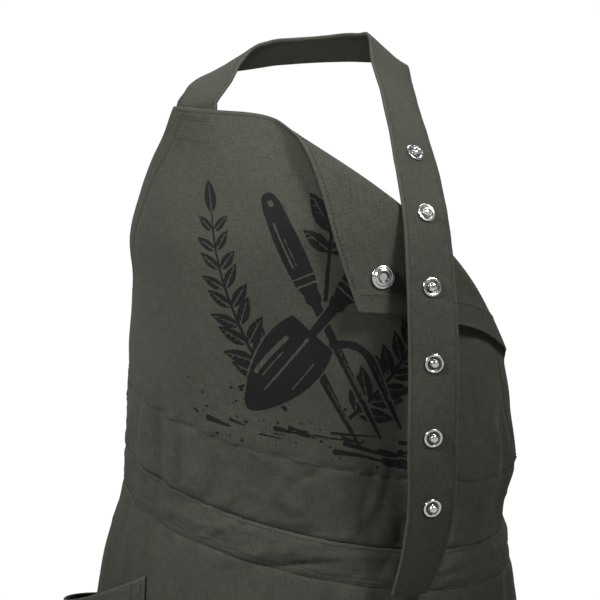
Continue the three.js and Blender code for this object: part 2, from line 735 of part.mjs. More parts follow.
function tieSheet(side) {
  const start = WAIST_SHIFT + side * (bandHalf - TIE_LAP);
  const end = side * (backReach - KNOT_HALF_WIDTH - GAP);
  return clothGrid(TIE_COLUMNS, 2, TIE_THICKNESS, (u, v) => {
    const share = side > 0 ? u : 1 - u;
    const round = THREE.MathUtils.lerp(start, end, share);
    const middle = THREE.MathUtils.lerp(seamHeight(round) - BAND_HEIGHT / 2, knotHeight, share * share);
    const height = middle + (0.5 - v) * TIE_WIDTH;
    const upright = bodyPoint(round, middle, tieLift).setZ(height);
    return bodyPoint(round, height, tieLift).lerp(upright, share);
  });
}

addPiece('waist_tie_left', tieSheet(-1), canvas);
addPiece('waist_tie_right', tieSheet(1), canvas);

const knot = addPiece('tie_knot', new THREE.SphereGeometry(1, 16, 10), canvas);
knot.scale.set(KNOT_HALF_WIDTH, KNOT_HALF_DEPTH, KNOT_HALF_HEIGHT);
knot.position.copy(knotMiddle);

// Loose ends of the ties: gathered where they leave the knot, flat and a little apart lower down
const TAIL_ROWS = 10;

function tailSheet(side) {
  const top = knotMiddle.z - KNOT_HALF_HEIGHT - GAP;
  return clothGrid(2, TAIL_ROWS, TIE_THICKNESS, (u, v) => {
    const opened = THREE.MathUtils.smoothstep(v, 0, TAIL_GATHER_REACH);
    const width = TIE_WIDTH * THREE.MathUtils.lerp(TAIL_GATHER, 1, opened);
    const spread = side * (width / 2 + TAIL_GAP * (1 + TAIL_SPREAD * v));
    return new THREE.Vector3(
      knotMiddle.x + spread - (u - 0.5) * width,
      knotMiddle.y + TIE_THICKNESS * (1 + Math.sin(Math.PI * v)) + GAP,
      top - (TIE_TAIL - side * TAIL_UNEVEN) * v,
    );
  });
}

addPiece('tie_tail_left', tailSheet(-1), canvas);
addPiece('tie_tail_right', tailSheet(1), canvas);

// Origin at the back of the neck, on the inner face of the strap
const NECK_ROW = 5;
const neckRest = strapFrame((FOOT_ROWS.length + NECK_ROW) / (strapNodes.length - 1));
const origin = neckRest.middle.addScaledVector(neckRest.normal, -STRAP_THICKNESS / 2);
apron.position.copy(origin).negate();

export default apron;
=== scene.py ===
import math

import bpy
import numpy as np
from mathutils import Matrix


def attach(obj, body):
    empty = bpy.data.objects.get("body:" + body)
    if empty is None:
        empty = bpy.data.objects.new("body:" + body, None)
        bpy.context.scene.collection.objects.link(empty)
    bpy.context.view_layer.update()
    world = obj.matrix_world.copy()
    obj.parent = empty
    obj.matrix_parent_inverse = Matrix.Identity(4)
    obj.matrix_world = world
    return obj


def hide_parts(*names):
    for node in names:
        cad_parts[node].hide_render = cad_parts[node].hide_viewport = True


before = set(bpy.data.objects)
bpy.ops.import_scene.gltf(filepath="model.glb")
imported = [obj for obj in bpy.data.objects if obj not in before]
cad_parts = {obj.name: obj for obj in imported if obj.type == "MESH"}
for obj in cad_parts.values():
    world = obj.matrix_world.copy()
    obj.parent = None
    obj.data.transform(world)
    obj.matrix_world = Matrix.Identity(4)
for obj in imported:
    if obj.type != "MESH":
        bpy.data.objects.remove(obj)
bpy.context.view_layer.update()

# Setting: the camera stands in front of the bib and looks a little down on it, over a pale floor. Two
# gridded soft boxes light it high in front, a small one reaches the strap behind the neck, two wider ones
# stand behind, and a broad light from overhead and an even white surround fill the rest.
CAMERA_AT = (-0.00823, -1.65301, 0.04749)
CAMERA_TILT = math.radians(82)
CAMERA_LENS = 134.1
CAMERA_SENSOR = 36
CAMERA_REACH = (0.05, 6000)
FLOOR_HEIGHT = -1.25
FLOOR_REACH = 2000.0

camera = bpy.data.objects.new("camera", bpy.data.cameras.new("camera"))
camera.location = CAMERA_AT
camera.rotation_euler = (CAMERA_TILT, 0, 0)
camera.data.lens = CAMERA_LENS
camera.data.sensor_width = CAMERA_SENSOR
camera.data.clip_start, camera.data.clip_end = CAMERA_REACH
bpy.context.scene.collection.objects.link(camera)
bpy.context.scene.camera = camera


class Wire:
    """One socket of a material's nodes. Arithmetic on it adds the Math nodes that work it out."""

    def __init__(self, tree, socket=None):
        self.tree, self.socket = tree, socket

    def node(self, kind, settings=None, inputs=None, output=0):
        """A new node of that kind: its settings first, then its sockets' values or links."""
        made = self.tree.nodes.new("ShaderNode" + kind)
        for name, value in (settings or {}).items():
            if name == "stops":
                ramp = made.color_ramp
                while len(ramp.elements) < len(value):
                    ramp.elements.new(0.5)
                for element, (place, colour) in zip(ramp.elements, value):
                    element.position, element.color = place, (*colour, 1)
            else:
                setattr(made, name, value)
        for name, value in (inputs or {}).items():
            if isinstance(value, Wire):
                self.tree.links.new(value.socket, made.inputs[name])
            else:
                made.inputs[name].default_value = value
        if isinstance(output, tuple):
            return tuple(Wire(self.tree, made.outputs[name]) for name in output)
        return Wire(self.tree, made.outputs[output])

    def math(self, operation, first, second=0.0):
        return self.node("Math", {"operation": operation}, {0: first, 1: second})

    def __add__(self, other):
        return self.math("ADD", self, other)

    def __sub__(self, other):
        return self.math("SUBTRACT", self, other)

    def __rsub__(self, other):
        return self.math("SUBTRACT", other, self)

    def __mul__(self, other):
        return self.math("MULTIPLY", self, other)

    def __pow__(self, other):
        return self.math("POWER", self, other)

    __radd__ = __add__
    __rmul__ = __mul__


def start_finish(name):
    """A new material with an empty tree, and a wire to build it from."""
    material = bpy.data.materials.new(name)
    material.use_nodes = True
    material.node_tree.nodes.clear()
    return material, Wire(material.node_tree)


def end_finish(wire, sockets):
    """Closes a tree with one Principled shader that has these sockets."""
    shader = wire.node("BsdfPrincipled", {}, sockets, "BSDF")
    wire.node("OutputMaterial", {}, {"Surface": shader}, ())


def tinted(wire, colour, amount):
    """The colour times an amount that varies."""
    return wire.node("VectorMath", {"operation": "SCALE"}, {0: colour, "Scale": amount}, "Vector")


floor_finish, wire = start_finish("floor_paper")
floor_tone = wire.node("TexNoise", {}, {"Scale": 1.5, "Detail": 2.0}, "Fac") * 0.02 + 0.9
end_finish(wire, {
    "Base Color": wire.node("CombineColor", {}, {0: floor_tone, 1: floor_tone, 2: floor_tone}),
    "Roughness": 0.9,
    "Specular IOR Level": 0.1,
})
floor_mesh = bpy.data.meshes.new("floor")
floor_mesh.from_pydata(
    [(x * FLOOR_REACH, y * FLOOR_REACH, FLOOR_HEIGHT) for x, y in ((-1, -1), (1, -1), (1, 1), (-1, 1))],
    [], [(0, 1, 2, 3)])
floor_mesh.materials.append(floor_finish)
floor = bpy.data.objects.new("floor", floor_mesh)
bpy.context.scene.collection.objects.link(floor)

OVERHEAD_POWER = 3.4
OVERHEAD_WIDTH = math.radians(40)
OVERHEAD_TILT = math.radians(-34)
SURROUND_LIGHT = 0.22
# name, x, y, z, size, power, spread in degrees, and the point that it looks at
LIGHTS = (
    ("light_left", -1.25, -0.95, 0.75, 0.4, 3.0, 25, (-0.06, -0.14, -0.18)),
    ("light_right", 0.85, -0.9, 0.85, 0.4, 2.5, 28, (-0.02, -0.14, -0.13)),
    ("light_neck", 0.1, -1.3, 0.3, 0.15, 0.3, 12, (0.0, 0.02, 0.0)),
    ("light_behind", 0.9, 1.5, 0.7, 0.6, 4, 70, (0.0, 0.0, -0.3)),
    ("light_behind_left", -0.8, 1.5, 0.6, 0.6, 3, 70, (0.0, 0.0, -0.3)),
)
for name, *where, size, power, spread, aim in LIGHTS:
    lamp = bpy.data.objects.new(name, bpy.data.lights.new(name, "AREA"))
    lamp.data.size, lamp.data.energy, lamp.data.spread = size, power, math.radians(spread)
    lamp.location = where
    toward = np.array(aim) - np.array(where)
    lamp.rotation_euler = (
        math.acos(-toward[2] / np.linalg.norm(toward)), 0, math.atan2(-toward[0], toward[1]))
    bpy.context.scene.collection.objects.link(lamp)
overhead = bpy.data.objects.new("light_overhead", bpy.data.lights.new("light_overhead", "SUN"))
overhead.data.energy, overhead.data.angle = OVERHEAD_POWER, OVERHEAD_WIDTH
overhead.rotation_euler = (OVERHEAD_TILT, 0, 0)
bpy.context.scene.collection.objects.link(overhead)
surround = bpy.data.worlds.new("surround")
surround.use_nodes = True
surround_light = surround.node_tree.nodes["Background"].inputs
surround_light["Color"].default_value = (1, 1, 1, 1)
surround_light["Strength"].default_value = SURROUND_LIGHT
bpy.context.scene.world = surround
bpy.context.scene.view_settings.view_transform = "Standard"


# Bib: one cut of heavy plain-weave cotton canvas, hemmed at the sides and faced at the top. It lies as it
# does when worn, and its top corner on one side has rolled over and shows the reverse of the cloth.
BODY_HALF_WIDTH = 136
BODY_HALF_DEPTH = 96
CLOTH = 1.2
GAP = 0.3
NECK_REST = np.array([8.2341, 68.5769, 325.1916])
BIB_HEIGHT = 269
BIB_TOP_WIDTH = 220
BIB_SIDE_FLARE = 110
BIB_TOP_SLOPE = math.radians(11.3)
BIB_TOP_ARCH = 5
TOP_RISE = 8.5
TOP_RISE_BEFORE = 10
TOP_RISE_REACH = 36
FLAP_ALONG_TOP = 125
FLAP_ALONG_SIDE = 127
FOLD_RADIUS_TOP = 6
FOLD_RADIUS_SIDE = 2.6
FOLD_BOW = 13
FOLD_BOW_REACH = 22
FLAP_OPENING = 9
SEAM_DROP = 29.5
SEAM_DIP = 20
WAIST_SHIFT = -22
SKIRT_LENGTH = 450

# level (1 top of the bib, 0 waist seam, -1 hem), middle, halfWidth as shares of the half-width of the
# body, front, back as shares of its half-depth
SECTIONS = (
    (1.12, 0.07, 0.82, 0.87, 0.87),
    (1.0, 0.09, 0.875, 0.99, 0.96),
    (0.87, 0.1, 0.955, 1.09, 1.01),
    (0.76, 0.1, 1.0, 1.15, 1.04),
    (0.6, 0.1, 0.975, 1.14, 1.03),
    (0.43, 0.098, 0.997, 1.1, 1.0),
    (0.29, 0.096, 1.01, 1.05, 0.98),
    (0.14, 0.098, 1.02, 1.01, 0.97),
    (0.02, 0.06, 1.015, 0.99, 0.98),
    (-0.05, 0.037, 1.06, 1.02, 1.04),
    (-0.11, 0.032, 1.098, 1.07, 1.1),
    (-0.25, 0.037, 1.16, 1.17, 1.23),
    (-0.55, 0.06, 1.22, 1.27, 1.31),
    (-1.06, 0.074, 1.27, 1.36, 1.36),
)
# down, left, right: how far out the bib's side edges lie as worn, as shares of its flare
SIDE_EDGE = (
    (0, 0, 0),
    (0.11, 0.15, 0.07),
    (0.2, 0.27, 0.16),
    (0.29, 0.37, 0.27),
    (0.5, 0.58, 0.56),
    (0.75, 0.85, 0.84),
    (1, 1, 1),
)
# across, up, length, width, turn, lift of the main folds, and then of the small creases
RELIEF = (
    (-1.0, 0.2, 0.24, 0.05, 2, 2.6),
    (-0.87, 0.18, 0.26, 0.045, -2, -2.2),
    (-0.78, 0.17, 0.3, 0.05, -3, 2.4),
    (-1.2, -0.1, 0.3, 0.09, 8, -3.5),
    (-0.72, -0.22, 0.34, 0.07, 4, 2.6),
    (-0.29, 0.22, 0.13, 0.04, -6, 1.4),
    (-0.12, 0.08, 0.12, 0.035, -48, 1.8),
    (0.12, 0.1, 0.12, 0.035, -40, 1.6),
    (-0.1, -0.03, 0.3, 0.035, 80, 1.8),
    (1.0, 0.16, 0.28, 0.05, 3, 2.6),
    (1.14, 0.14, 0.26, 0.045, 0, -2.4),
    (1.28, 0.15, 0.3, 0.05, -2, 2.6),
    (-0.35, 0.72, 0.4, 0.2, 35, 2.5),
    (-0.9, 0.8, 0.2, 0.2, 0, 2.2),
)
CREASES = (
    (-0.2, 0.13, 0.1, 0.02, 30, 1.2),
    (-0.05, 0.16, 0.08, 0.022, 60, -1),
    (0.06, 0.05, 0.09, 0.02, -30, 1.4),
    (-0.45, 0.1, 0.1, 0.018, 5, 1.2),
    (-0.58, 0.12, 0.14, 0.02, -8, 1.4),
    (-0.66, 0.3, 0.12, 0.03, -20, -1),
    (0.3, 0.12, 0.12, 0.02, 10, 1.2),
    (-0.05, -0.07, 0.24, 0.018, 84, -1.4),
    (-0.45, 0.02, 0.2, 0.02, 62, 1),
    (0.2, -0.05, 0.2, 0.02, 95, 1.2),
    (0.75, 0.4, 0.16, 0.04, 30, 1.5),
    (0.85, 0.3, 0.14, 0.03, -10, -1.4),
    (0.93, 0.06, 0.16, 0.02, 4, 1.4),
    (-0.84, 0.2, 0.22, 0.03, -3, 1.6),
    (-0.755, 0.2, 0.24, 0.03, -3, -2),
    (-0.675, 0.2, 0.22, 0.028, -3, 1.6),
    (1.0, 0.22, 0.16, 0.028, -12, 1.8),
    (1.07, 0.2, 0.14, 0.022, 14, -1.8),
    (1.16, 0.24, 0.12, 0.02, -18, 1.4),
)


def hermite(t, start, leave, end, meet):
    """A smooth way from start to end at shares t, with the slopes that it leaves and meets them at."""
    return ((2 * t**3 - 3 * t**2 + 1) * start + (t**3 - 2 * t**2 + t) * leave
            + (3 * t**2 - 2 * t**3) * end + (t**3 - t**2) * meet)


def smooth_rows(rows, at):
    """Smooth value of every column of a table at places along its first column."""
    rows = np.array(rows, float)
    way = 1 if rows[1, 0] > rows[0, 0] else -1
    i = np.clip(np.searchsorted(rows[:, 0] * way, at * way), 1, len(rows) - 1)
    before, start = rows[np.maximum(i - 2, 0)], rows[i - 1]
    end, after = rows[i], rows[np.minimum(i + 1, len(rows) - 1)]
    span = (end - start)[..., :1]
    t = np.clip((np.asarray(at)[..., None] - start[..., :1]) / span, 0, 1)
    leave = span * (end - before) / (end - before)[..., :1]
    meet = span * (after - start) / (after - start)[..., :1]
    return hermite(t, start, leave, end, meet)


def section_at(height):
    """Middle, half-width, front and back of the body's level section, in millimetres."""
    level = np.where(height > 0, height / BIB_HEIGHT, height / SKIRT_LENGTH)
    row = smooth_rows(SECTIONS, level)
    return (row[..., 1] * BODY_HALF_WIDTH, row[..., 2] * BODY_HALF_WIDTH,
            row[..., 3] * BODY_HALF_DEPTH, row[..., 4] * BODY_HALF_DEPTH)


def angle_round(distance, section):
    """Angle from the middle of the front that lies a given distance round a section."""
    _, half_width, front, back = section
    step = math.radians(1.5)
    left = np.abs(distance) + 0 * half_width
    angle = np.zeros_like(left)
    for turn in range(240):
        middle = (turn + 0.5) * step
        depth = front if math.cos(middle) > 0 else back
        length = step * np.hypot(half_width * math.cos(middle), depth * math.sin(middle))
        angle += step * np.clip(left / length, 0, 1)
        left -= length
        if left.max() <= 0:
            break
    return np.sign(distance) * angle


def relief_at(rows, distance, height):
    """How far the folds of a table lift the cloth, in millimetres."""
    lift = 0 * distance
    for across, up, length, width, turn, amount in rows:
        turn = math.radians(turn)
        dx = distance / BODY_HALF_WIDTH - across
        dz = (height - up * BIB_HEIGHT) / BODY_HALF_WIDTH
        along = (dz * math.cos(turn) + dx * math.sin(turn)) / length
        aside = (dx * math.cos(turn) - dz * math.sin(turn)) / width
        lift = lift + amount * CLOTH * np.exp(-along**2 - aside**2)
    return lift


def body_point(distance, height, lift):
    """Points of the worn cloth at distances round the body and heights above the waist seam."""
    distance, height = np.broadcast_arrays(np.asarray(distance, float), np.asarray(height, float))
    section = section_at(height)
    middle, half_width, front, back = section
    angle = angle_round(distance, section)
    depth = np.where(np.cos(angle) > 0, front, back)
    outward = np.stack([depth * np.sin(angle), -half_width * np.cos(angle), 0 * angle], -1)
    outward /= np.linalg.norm(outward, axis=-1, keepdims=True)
    point = np.stack([middle + half_width * np.sin(angle), -depth * np.cos(angle), height], -1)
    lift = lift + relief_at(RELIEF + CREASES, distance, height)
    return point + outward * lift[..., None]


def seam_height(distance):
    """Height of the waist seam at distances round the body: higher at the back, and not level sideways."""
    angle = angle_round(distance, section_at(0 * distance))
    return SEAM_DIP * (1 - np.cos(angle)) - SEAM_DROP * np.sin(angle)


def bib_half_width(height, side=1):
    """Distance from the middle of the bib to its side edge, to the left (-1) or the right (1)."""
    edge = smooth_rows(SIDE_EDGE, 1 - height / BIB_HEIGHT)
    return BIB_TOP_WIDTH / 2 + np.where(side > 0, edge[..., 2], edge[..., 1]) * BIB_SIDE_FLARE


def near(away, reach):
    """A share that is 1 at no distance and fades out round the reach."""
    return np.exp(-((away / reach) ** 2))


FOLD_START_ACROSS = BIB_TOP_WIDTH / 2 - FLAP_ALONG_TOP
FOLD_END_HEIGHT = BIB_HEIGHT - FLAP_ALONG_SIDE


def lay_bib(across, height):
    """Flat places of the bib on the unrolled body, before its corner folds."""
    across, height = np.asarray(across, float), np.asarray(height, float)
    share = height / BIB_HEIGHT
    arch = np.clip((across + BIB_TOP_WIDTH / 2) / (FOLD_START_ACROSS + BIB_TOP_WIDTH / 2), 0, 1)
    top_x = across * math.cos(BIB_TOP_SLOPE)
    before = np.minimum(across - FOLD_START_ACROSS, 0) + TOP_RISE_BEFORE
    past = np.clip((across - FOLD_START_ACROSS) / FLAP_ALONG_TOP, 0, 1)
    rise = (BIB_TOP_ARCH * np.sin(math.pi * arch)
            + TOP_RISE * near(before, TOP_RISE_REACH) * (1 - past))
    top_y = BIB_HEIGHT - across * math.sin(BIB_TOP_SLOPE) + rise * share
    seam_x = WAIST_SHIFT + across
    return np.stack([seam_x + (top_x - seam_x) * share,
                     seam_height(seam_x) + (top_y - seam_height(seam_x)) * share], -1)


FOLD_START = lay_bib(FOLD_START_ACROSS, BIB_HEIGHT)
FOLD_END = lay_bib(bib_half_width(np.array(FOLD_END_HEIGHT)), FOLD_END_HEIGHT)
FOLD_LENGTH = float(np.linalg.norm(FOLD_END - FOLD_START))
FOLD_ALONG = (FOLD_END - FOLD_START) / FOLD_LENGTH
FOLD_ACROSS = np.array([-FOLD_ALONG[1], FOLD_ALONG[0]])


def fold_radius(share):
    """Radius of the roll, at shares of the fold line."""
    return FOLD_RADIUS_TOP + (FOLD_RADIUS_SIDE - FOLD_RADIUS_TOP) * np.clip(share, 0, 1)


def fold_place(across, height):
    """How far past the fold line flat places lie, and their share of its length."""
    offset = lay_bib(across, height) - FOLD_START
    return offset @ FOLD_ACROSS, (offset @ FOLD_ALONG) / FOLD_LENGTH


def bib_point(across, height, lift):
    """Where flat places of the bib are when worn, with the corner rolled over the fold line."""
    laid = lay_bib(across, height)
    past, share = fold_place(across, height)
    radius = fold_radius(share)
    roll = math.pi * radius
    bow = FOLD_BOW * np.sin(math.pi * np.clip(share, 0, 1))
    angle = np.clip((past + roll / 2) / radius, 0, math.pi)
    opened = np.clip((past - roll / 2) / (FLAP_ALONG_TOP / 2), 0, 1)
    folded, rolled = past > roll / 2, past > -roll / 2
    reach = np.where(folded, -past, np.where(rolled, radius * np.sin(angle) - roll / 2, past))
    rise = np.where(folded, 2 * radius + FLAP_OPENING * opened**2,
                    np.where(rolled, radius * (1 - np.cos(angle)), 0))
    shift = reach - past + bow * near(reach, FOLD_BOW_REACH)
    laid = laid + FOLD_ACROSS * shift[..., None]
    return body_point(laid[..., 0], laid[..., 1], rise + np.cos(angle) * lift)


def soft_noise(x, y, size, seed):
    """Smooth random hills from -1 to 1, about a size apart."""
    knots = np.random.default_rng(seed).uniform(-1, 1, (64, 64))
    x, y = x / size, y / size
    i, j = np.floor(x).astype(int), np.floor(y).astype(int)
    fx, fy = x - i, y - j
    fx, fy = fx * fx * (3 - 2 * fx), fy * fy * (3 - 2 * fy)
    low = knots[i % 64, j % 64] * (1 - fx) + knots[(i + 1) % 64, j % 64] * fx
    high = knots[i % 64, (j + 1) % 64] * (1 - fx) + knots[(i + 1) % 64, (j + 1) % 64] * fx
    return low * (1 - fy) + high * fy


def creases_at(x, y, size, seed):
    """Sharp-edged creases between smooth stretches of cloth, from 0 to 1."""
    return np.clip(1 - 3.2 * np.abs(soft_noise(x, y, size, seed)), 0, 1) ** 1.5


SIDE_HEM = 14
HEM_STITCH = 1.2
HEM_DIP = 2.2
TOP_STITCH = 2.2
CASING = 50
CASING_DIP = 2.2
SEAM_DEPTH = 1.5
SEAM_WIDTH = 1.5
SEAM_HOLD = 4
GATHER_RUN = 62
SOCKET_STEADY = 18
SOCKET_FROM_TOP = 21
SOCKET_FROM_SIDE = 25.4
SOCKET_PLACE = (
    float(bib_half_width(np.array(BIB_HEIGHT - SOCKET_FROM_TOP))) - SOCKET_FROM_SIDE,
    BIB_HEIGHT - SOCKET_FROM_TOP)


def seam_dip(across, away):
    """How the cloth on both sides of the waist seam sinks into it and puckers along it."""
    return (0.5 * soft_noise(across, 0 * away, 7, 17) - SEAM_DEPTH) * near(away, SEAM_WIDTH)


def hem_pucker(across, up, inside, seed):
    """How the cloth sinks and puckers along a side hem's stitches."""
    return near(inside - SIDE_HEM, HEM_DIP) * (0.25 * soft_noise(across, up, 5, seed) - 0.2)


def bib_wrinkles(across, height):
    """Small rise and fall of the bib's canvas: waves, gathers at the waist and puckers at seams."""
    wave = soft_noise(across, height, 46, 11) + 0.45 * soft_noise(across, height, 19, 12)
    gathered = np.clip(1 - height / GATHER_RUN, 0, 1) ** 0.7 * (0.55 + np.abs(across) / 170)
    gather = (2.6 * soft_noise(across, height * 0.16, 9, 13)
              + 1.3 * creases_at(across + 0.25 * height, height * 0.3, 15, 18)) * gathered
    pucker = near(height - CASING, CASING_DIP) * (1.3 * soft_noise(across, height, 5, 14) - 0.6)
    seam = np.exp(-height / 7) * 1.1 * soft_noise(across, height, 6, 15) * (1 - np.exp(-height / 2.5))
    pressed = (0.75 * creases_at(across, height + 0.4 * across, 24, 19)
               * np.clip(1.15 - height / 110, 0, 1))
    hem = hem_pucker(across, height, bib_half_width(height, across) - np.abs(across), 16)
    edge = near(BIB_HEIGHT - height - TOP_STITCH, 2) * -0.15
    steady = 1 - near(np.hypot(across - SOCKET_PLACE[0], height - SOCKET_PLACE[1]), SOCKET_STEADY)
    sewn = 1 - near(height, SEAM_HOLD)
    rise = wave + gather + pucker + seam + pressed + hem + edge
    return rise * steady * sewn + seam_dip(across, height)


def bib_cloth(across, height):
    """Middle of the bib's cloth as worn, wrinkles and all."""
    return bib_point(across, height, bib_wrinkles(across, height))


def facing(surface, a, b):
    """Points of a surface and the way that its face side looks there."""
    step = 0.4
    aside = surface(a + step, b) - surface(a - step, b)
    upward = surface(a, b + step) - surface(a, b - step)
    normal = np.cross(aside, upward)
    return surface(a, b), normal / np.linalg.norm(normal, axis=-1, keepdims=True)


def finish_piece(name, points, faces, material, pattern, rub=None):
    """A piece of the apron from points in millimetres about the waist seam."""
    mesh = bpy.data.meshes.new(name)
    mesh.from_pydata(((points - NECK_REST) / 1000).tolist(), [], faces)
    mesh.materials.append(material)
    mesh.polygons.foreach_set("use_smooth", np.ones(len(mesh.polygons), bool))
    mesh.attributes.new("pattern", "FLOAT_VECTOR", "POINT").data.foreach_set(
        "vector", pattern.astype(np.float32).ravel())
    rubbed = np.zeros(len(points)) if rub is None else rub
    mesh.attributes.new("rub", "FLOAT", "POINT").data.foreach_set("value", rubbed.astype(np.float32))
    mesh.update()
    piece = bpy.data.objects.new(name, mesh)
    bpy.context.scene.collection.objects.link(piece)
    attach(piece, "root")
    return piece


def grid_cells(index):
    """The four corners of every cell of a grid of point numbers."""
    return np.stack([index[:-1, :-1], index[:-1, 1:], index[1:, 1:], index[1:, :-1]], -1).reshape(-1, 4)


RIM_SHARE = 0.4


def sew_sheet(name, middle, flat, material, front, back, rub=None):
    """A closed sheet of cloth over a grid of points that rises row by row, walls front and back thick.
    flat holds the places of the grid on the cut cloth, in millimetres."""
    rows, columns = middle.shape[:2]
    across, up = np.gradient(middle, axis=1), np.gradient(middle, axis=0)
    normal = np.cross(across, up)
    normal /= np.linalg.norm(normal, axis=-1, keepdims=True)
    front, back = np.broadcast_to(front, (rows, columns)), np.broadcast_to(back, (rows, columns))
    index = np.arange(rows * columns).reshape(rows, columns)
    face = grid_cells(index)
    count = rows * columns
    loop = np.concatenate([index[0, :-1], index[:-1, -1], index[-1, :0:-1], index[:0:-1, 0]])
    inner = np.concatenate([index[1, :-1], index[:-1, -2], index[-2, :0:-1], index[:0:-1, 1]])
    flat_points = middle.reshape(-1, 3)
    out = flat_points[loop] - flat_points[inner]
    out /= np.maximum(np.linalg.norm(out, axis=-1, keepdims=True), 1e-9)
    rim = flat_points[loop] + out * CLOTH * RIM_SHARE
    points = np.concatenate([
        (middle + normal * front[..., None]).reshape(-1, 3),
        (middle - normal * back[..., None]).reshape(-1, 3),
        rim])
    edge = np.arange(len(loop)) + 2 * count
    nearer, further = np.roll(loop, -1), np.roll(edge, -1)
    faces = np.concatenate([
        face,
        face[:, ::-1] + count,
        np.stack([nearer, loop, edge, further], -1),
        np.stack([further, edge, loop + count, nearer + count], -1)])
    places = np.concatenate([flat, 0 * flat[..., :1]], -1).reshape(-1, 3)
    pattern = np.concatenate([places, places + (0, 0, 1), places[loop]])
    if rub is not None:
        rub = rub.reshape(-1)
        rub = np.concatenate([rub, rub, rub[loop]])
    return finish_piece(name, points, faces.tolist(), material, pattern, rub)


STITCH = 2.6
STITCH_PITCH = 3.1
THREAD_RADIUS = 0.26
THREAD_PROUD = 0.1
# along, radius, sink of the rings of one stitch, as shares of its length and of the thread's radius
STITCH_RINGS = ((-0.5, 0.35, -0.9), (-0.3, 1.0, 0.1), (0.3, 1.0, 0.1), (0.5, 0.35, -0.9))
STITCH_SIDES = 5


def sew_stitches(name, runs, material):
    """Rows of thread stitches along lines of points that each have the way out of the cloth."""
    middles, alongs, outs = [], [], []
    for line, out in runs:
        lengths = np.concatenate([[0], np.cumsum(np.linalg.norm(np.diff(line, axis=0), axis=1))])
        at = np.arange(STITCH_PITCH / 2, lengths[-1], STITCH_PITCH)

        def along_line(values, places):
            return np.stack([np.interp(places, lengths, values[:, i]) for i in range(3)], -1)

        ahead = along_line(line, at + STITCH / 2) - along_line(line, at - STITCH / 2)
        middles.append(along_line(line, at))
        alongs.append(ahead / np.maximum(np.linalg.norm(ahead, axis=1, keepdims=True), 1e-9))
        outs.append(along_line(out, at))
    middle, ahead, out = np.concatenate(middles), np.concatenate(alongs), np.concatenate(outs)
    aside = np.cross(out, ahead)
    aside /= np.linalg.norm(aside, axis=1, keepdims=True)
    out = np.cross(ahead, aside)
    rings = []
    for along, radius, sink in STITCH_RINGS:
        for side in range(STITCH_SIDES):
            turn = 2 * math.pi * side / STITCH_SIDES
            rings.append((along * STITCH, radius * THREAD_RADIUS * math.cos(turn),
                          THREAD_RADIUS * (radius * math.sin(turn) + sink)))
    rings = np.array(rings)
    points = (middle[:, None] + ahead[:, None] * rings[None, :, :1]
              + aside[:, None] * rings[None, :, 1:2] + out[:, None] * rings[None, :, 2:])
    per = len(rings)
    quads = []
    for ring in range(len(STITCH_RINGS) - 1):
        for side in range(STITCH_SIDES):
            a, b = ring * STITCH_SIDES + side, ring * STITCH_SIDES + (side + 1) % STITCH_SIDES
            quads.append((a, a + STITCH_SIDES, b + STITCH_SIDES, b))
    quads = np.array(quads)
    faces = (quads[None] + per * np.arange(len(middle))[:, None, None]).reshape(-1, 4)
    pattern = np.tile(rings * (1, 4, 4), (len(middle), 1, 1)).reshape(-1, 3)
    return finish_piece(name, points.reshape(-1, 3), faces.tolist(), material, pattern)


def both_faces(surface, a, b, wall, faces=(1, -1)):
    """Runs of stitches along one line of a surface, on its face, its reverse or both."""
    point, out = facing(surface, a, b)
    return [(point + side * out * wall, side * out) for side in faces]


THREAD_PITCH = 0.62
CANVAS_CONTRAST = 0.6


def canvas_finish(name, colour):
    """Plain-weave cotton canvas: single threads, thicker yarns here and there, and rubbed edges."""
    material, wire = start_finish(name)
    place = wire.node("Attribute", {"attribute_name": "pattern"}, {}, "Vector")
    across, up, _ = wire.node("SeparateXYZ", {}, {0: place}, (0, 1, 2))
    turn = 2 * math.pi / THREAD_PITCH
    weave = wire.math("SINE", across * turn) * wire.math("SINE", up * turn)

    def yarns(scale_x, scale_y, detail):
        stretched = wire.node("VectorMath", {"operation": "MULTIPLY"},
                              {0: place, 1: (scale_x, scale_y, 7.0)}, "Vector")
        return wire.node("TexNoise", {}, {"Vector": stretched, "Scale": 1.0, "Detail": detail}, "Fac")

    warp, weft = yarns(1.05, 0.15, 1.0), yarns(0.13, 1.05, 1.0)
    fleck, cloud = yarns(1.0, 1.0, 2.0), yarns(0.022, 0.022, 3.0)
    rub = wire.node("Attribute", {"attribute_name": "rub"}, {}, "Fac")
    tone = (warp + weft) * 1.1 + fleck * 1.9 + cloud * 0.5 + weave * 0.03 - 2.3
    shade = tone * CANVAS_CONTRAST + 1.0 + rub * 0.16
    height = (warp + weft) * 0.5 + fleck * 0.35 + weave * 0.5
    normal = wire.node("Bump", {}, {"Strength": 0.42, "Distance": 0.00035, "Height": height})
    end_finish(wire, {
        "Base Color": tinted(wire, colour, shade),
        "Roughness": 0.97 - rub * 0.06,
        "Specular IOR Level": 0.06,
        "Normal": normal,
    })
    return material


CANVAS_COLOUR = (0.0168, 0.0169, 0.0136)
THREAD_COLOUR = (0.0095, 0.0095, 0.0078)
canvas = canvas_finish("canvas", CANVAS_COLOUR)

thread, wire = start_finish("thread")
thread_place = wire.node("Attribute", {"attribute_name": "pattern"}, {}, "Vector")
along, around, _ = wire.node("SeparateXYZ", {}, {0: thread_place}, (0, 1, 2))
ply = wire.math("SINE", along * 9.0 + around * 3.0)
end_finish(wire, {
    "Base Color": tinted(wire, THREAD_COLOUR, ply * 0.16 + 0.95),
    "Roughness": 0.8,
    "Specular IOR Level": 0.1,
    "Normal": wire.node("Bump", {}, {"Strength": 0.5, "Distance": 0.0001, "Height": ply}),
})

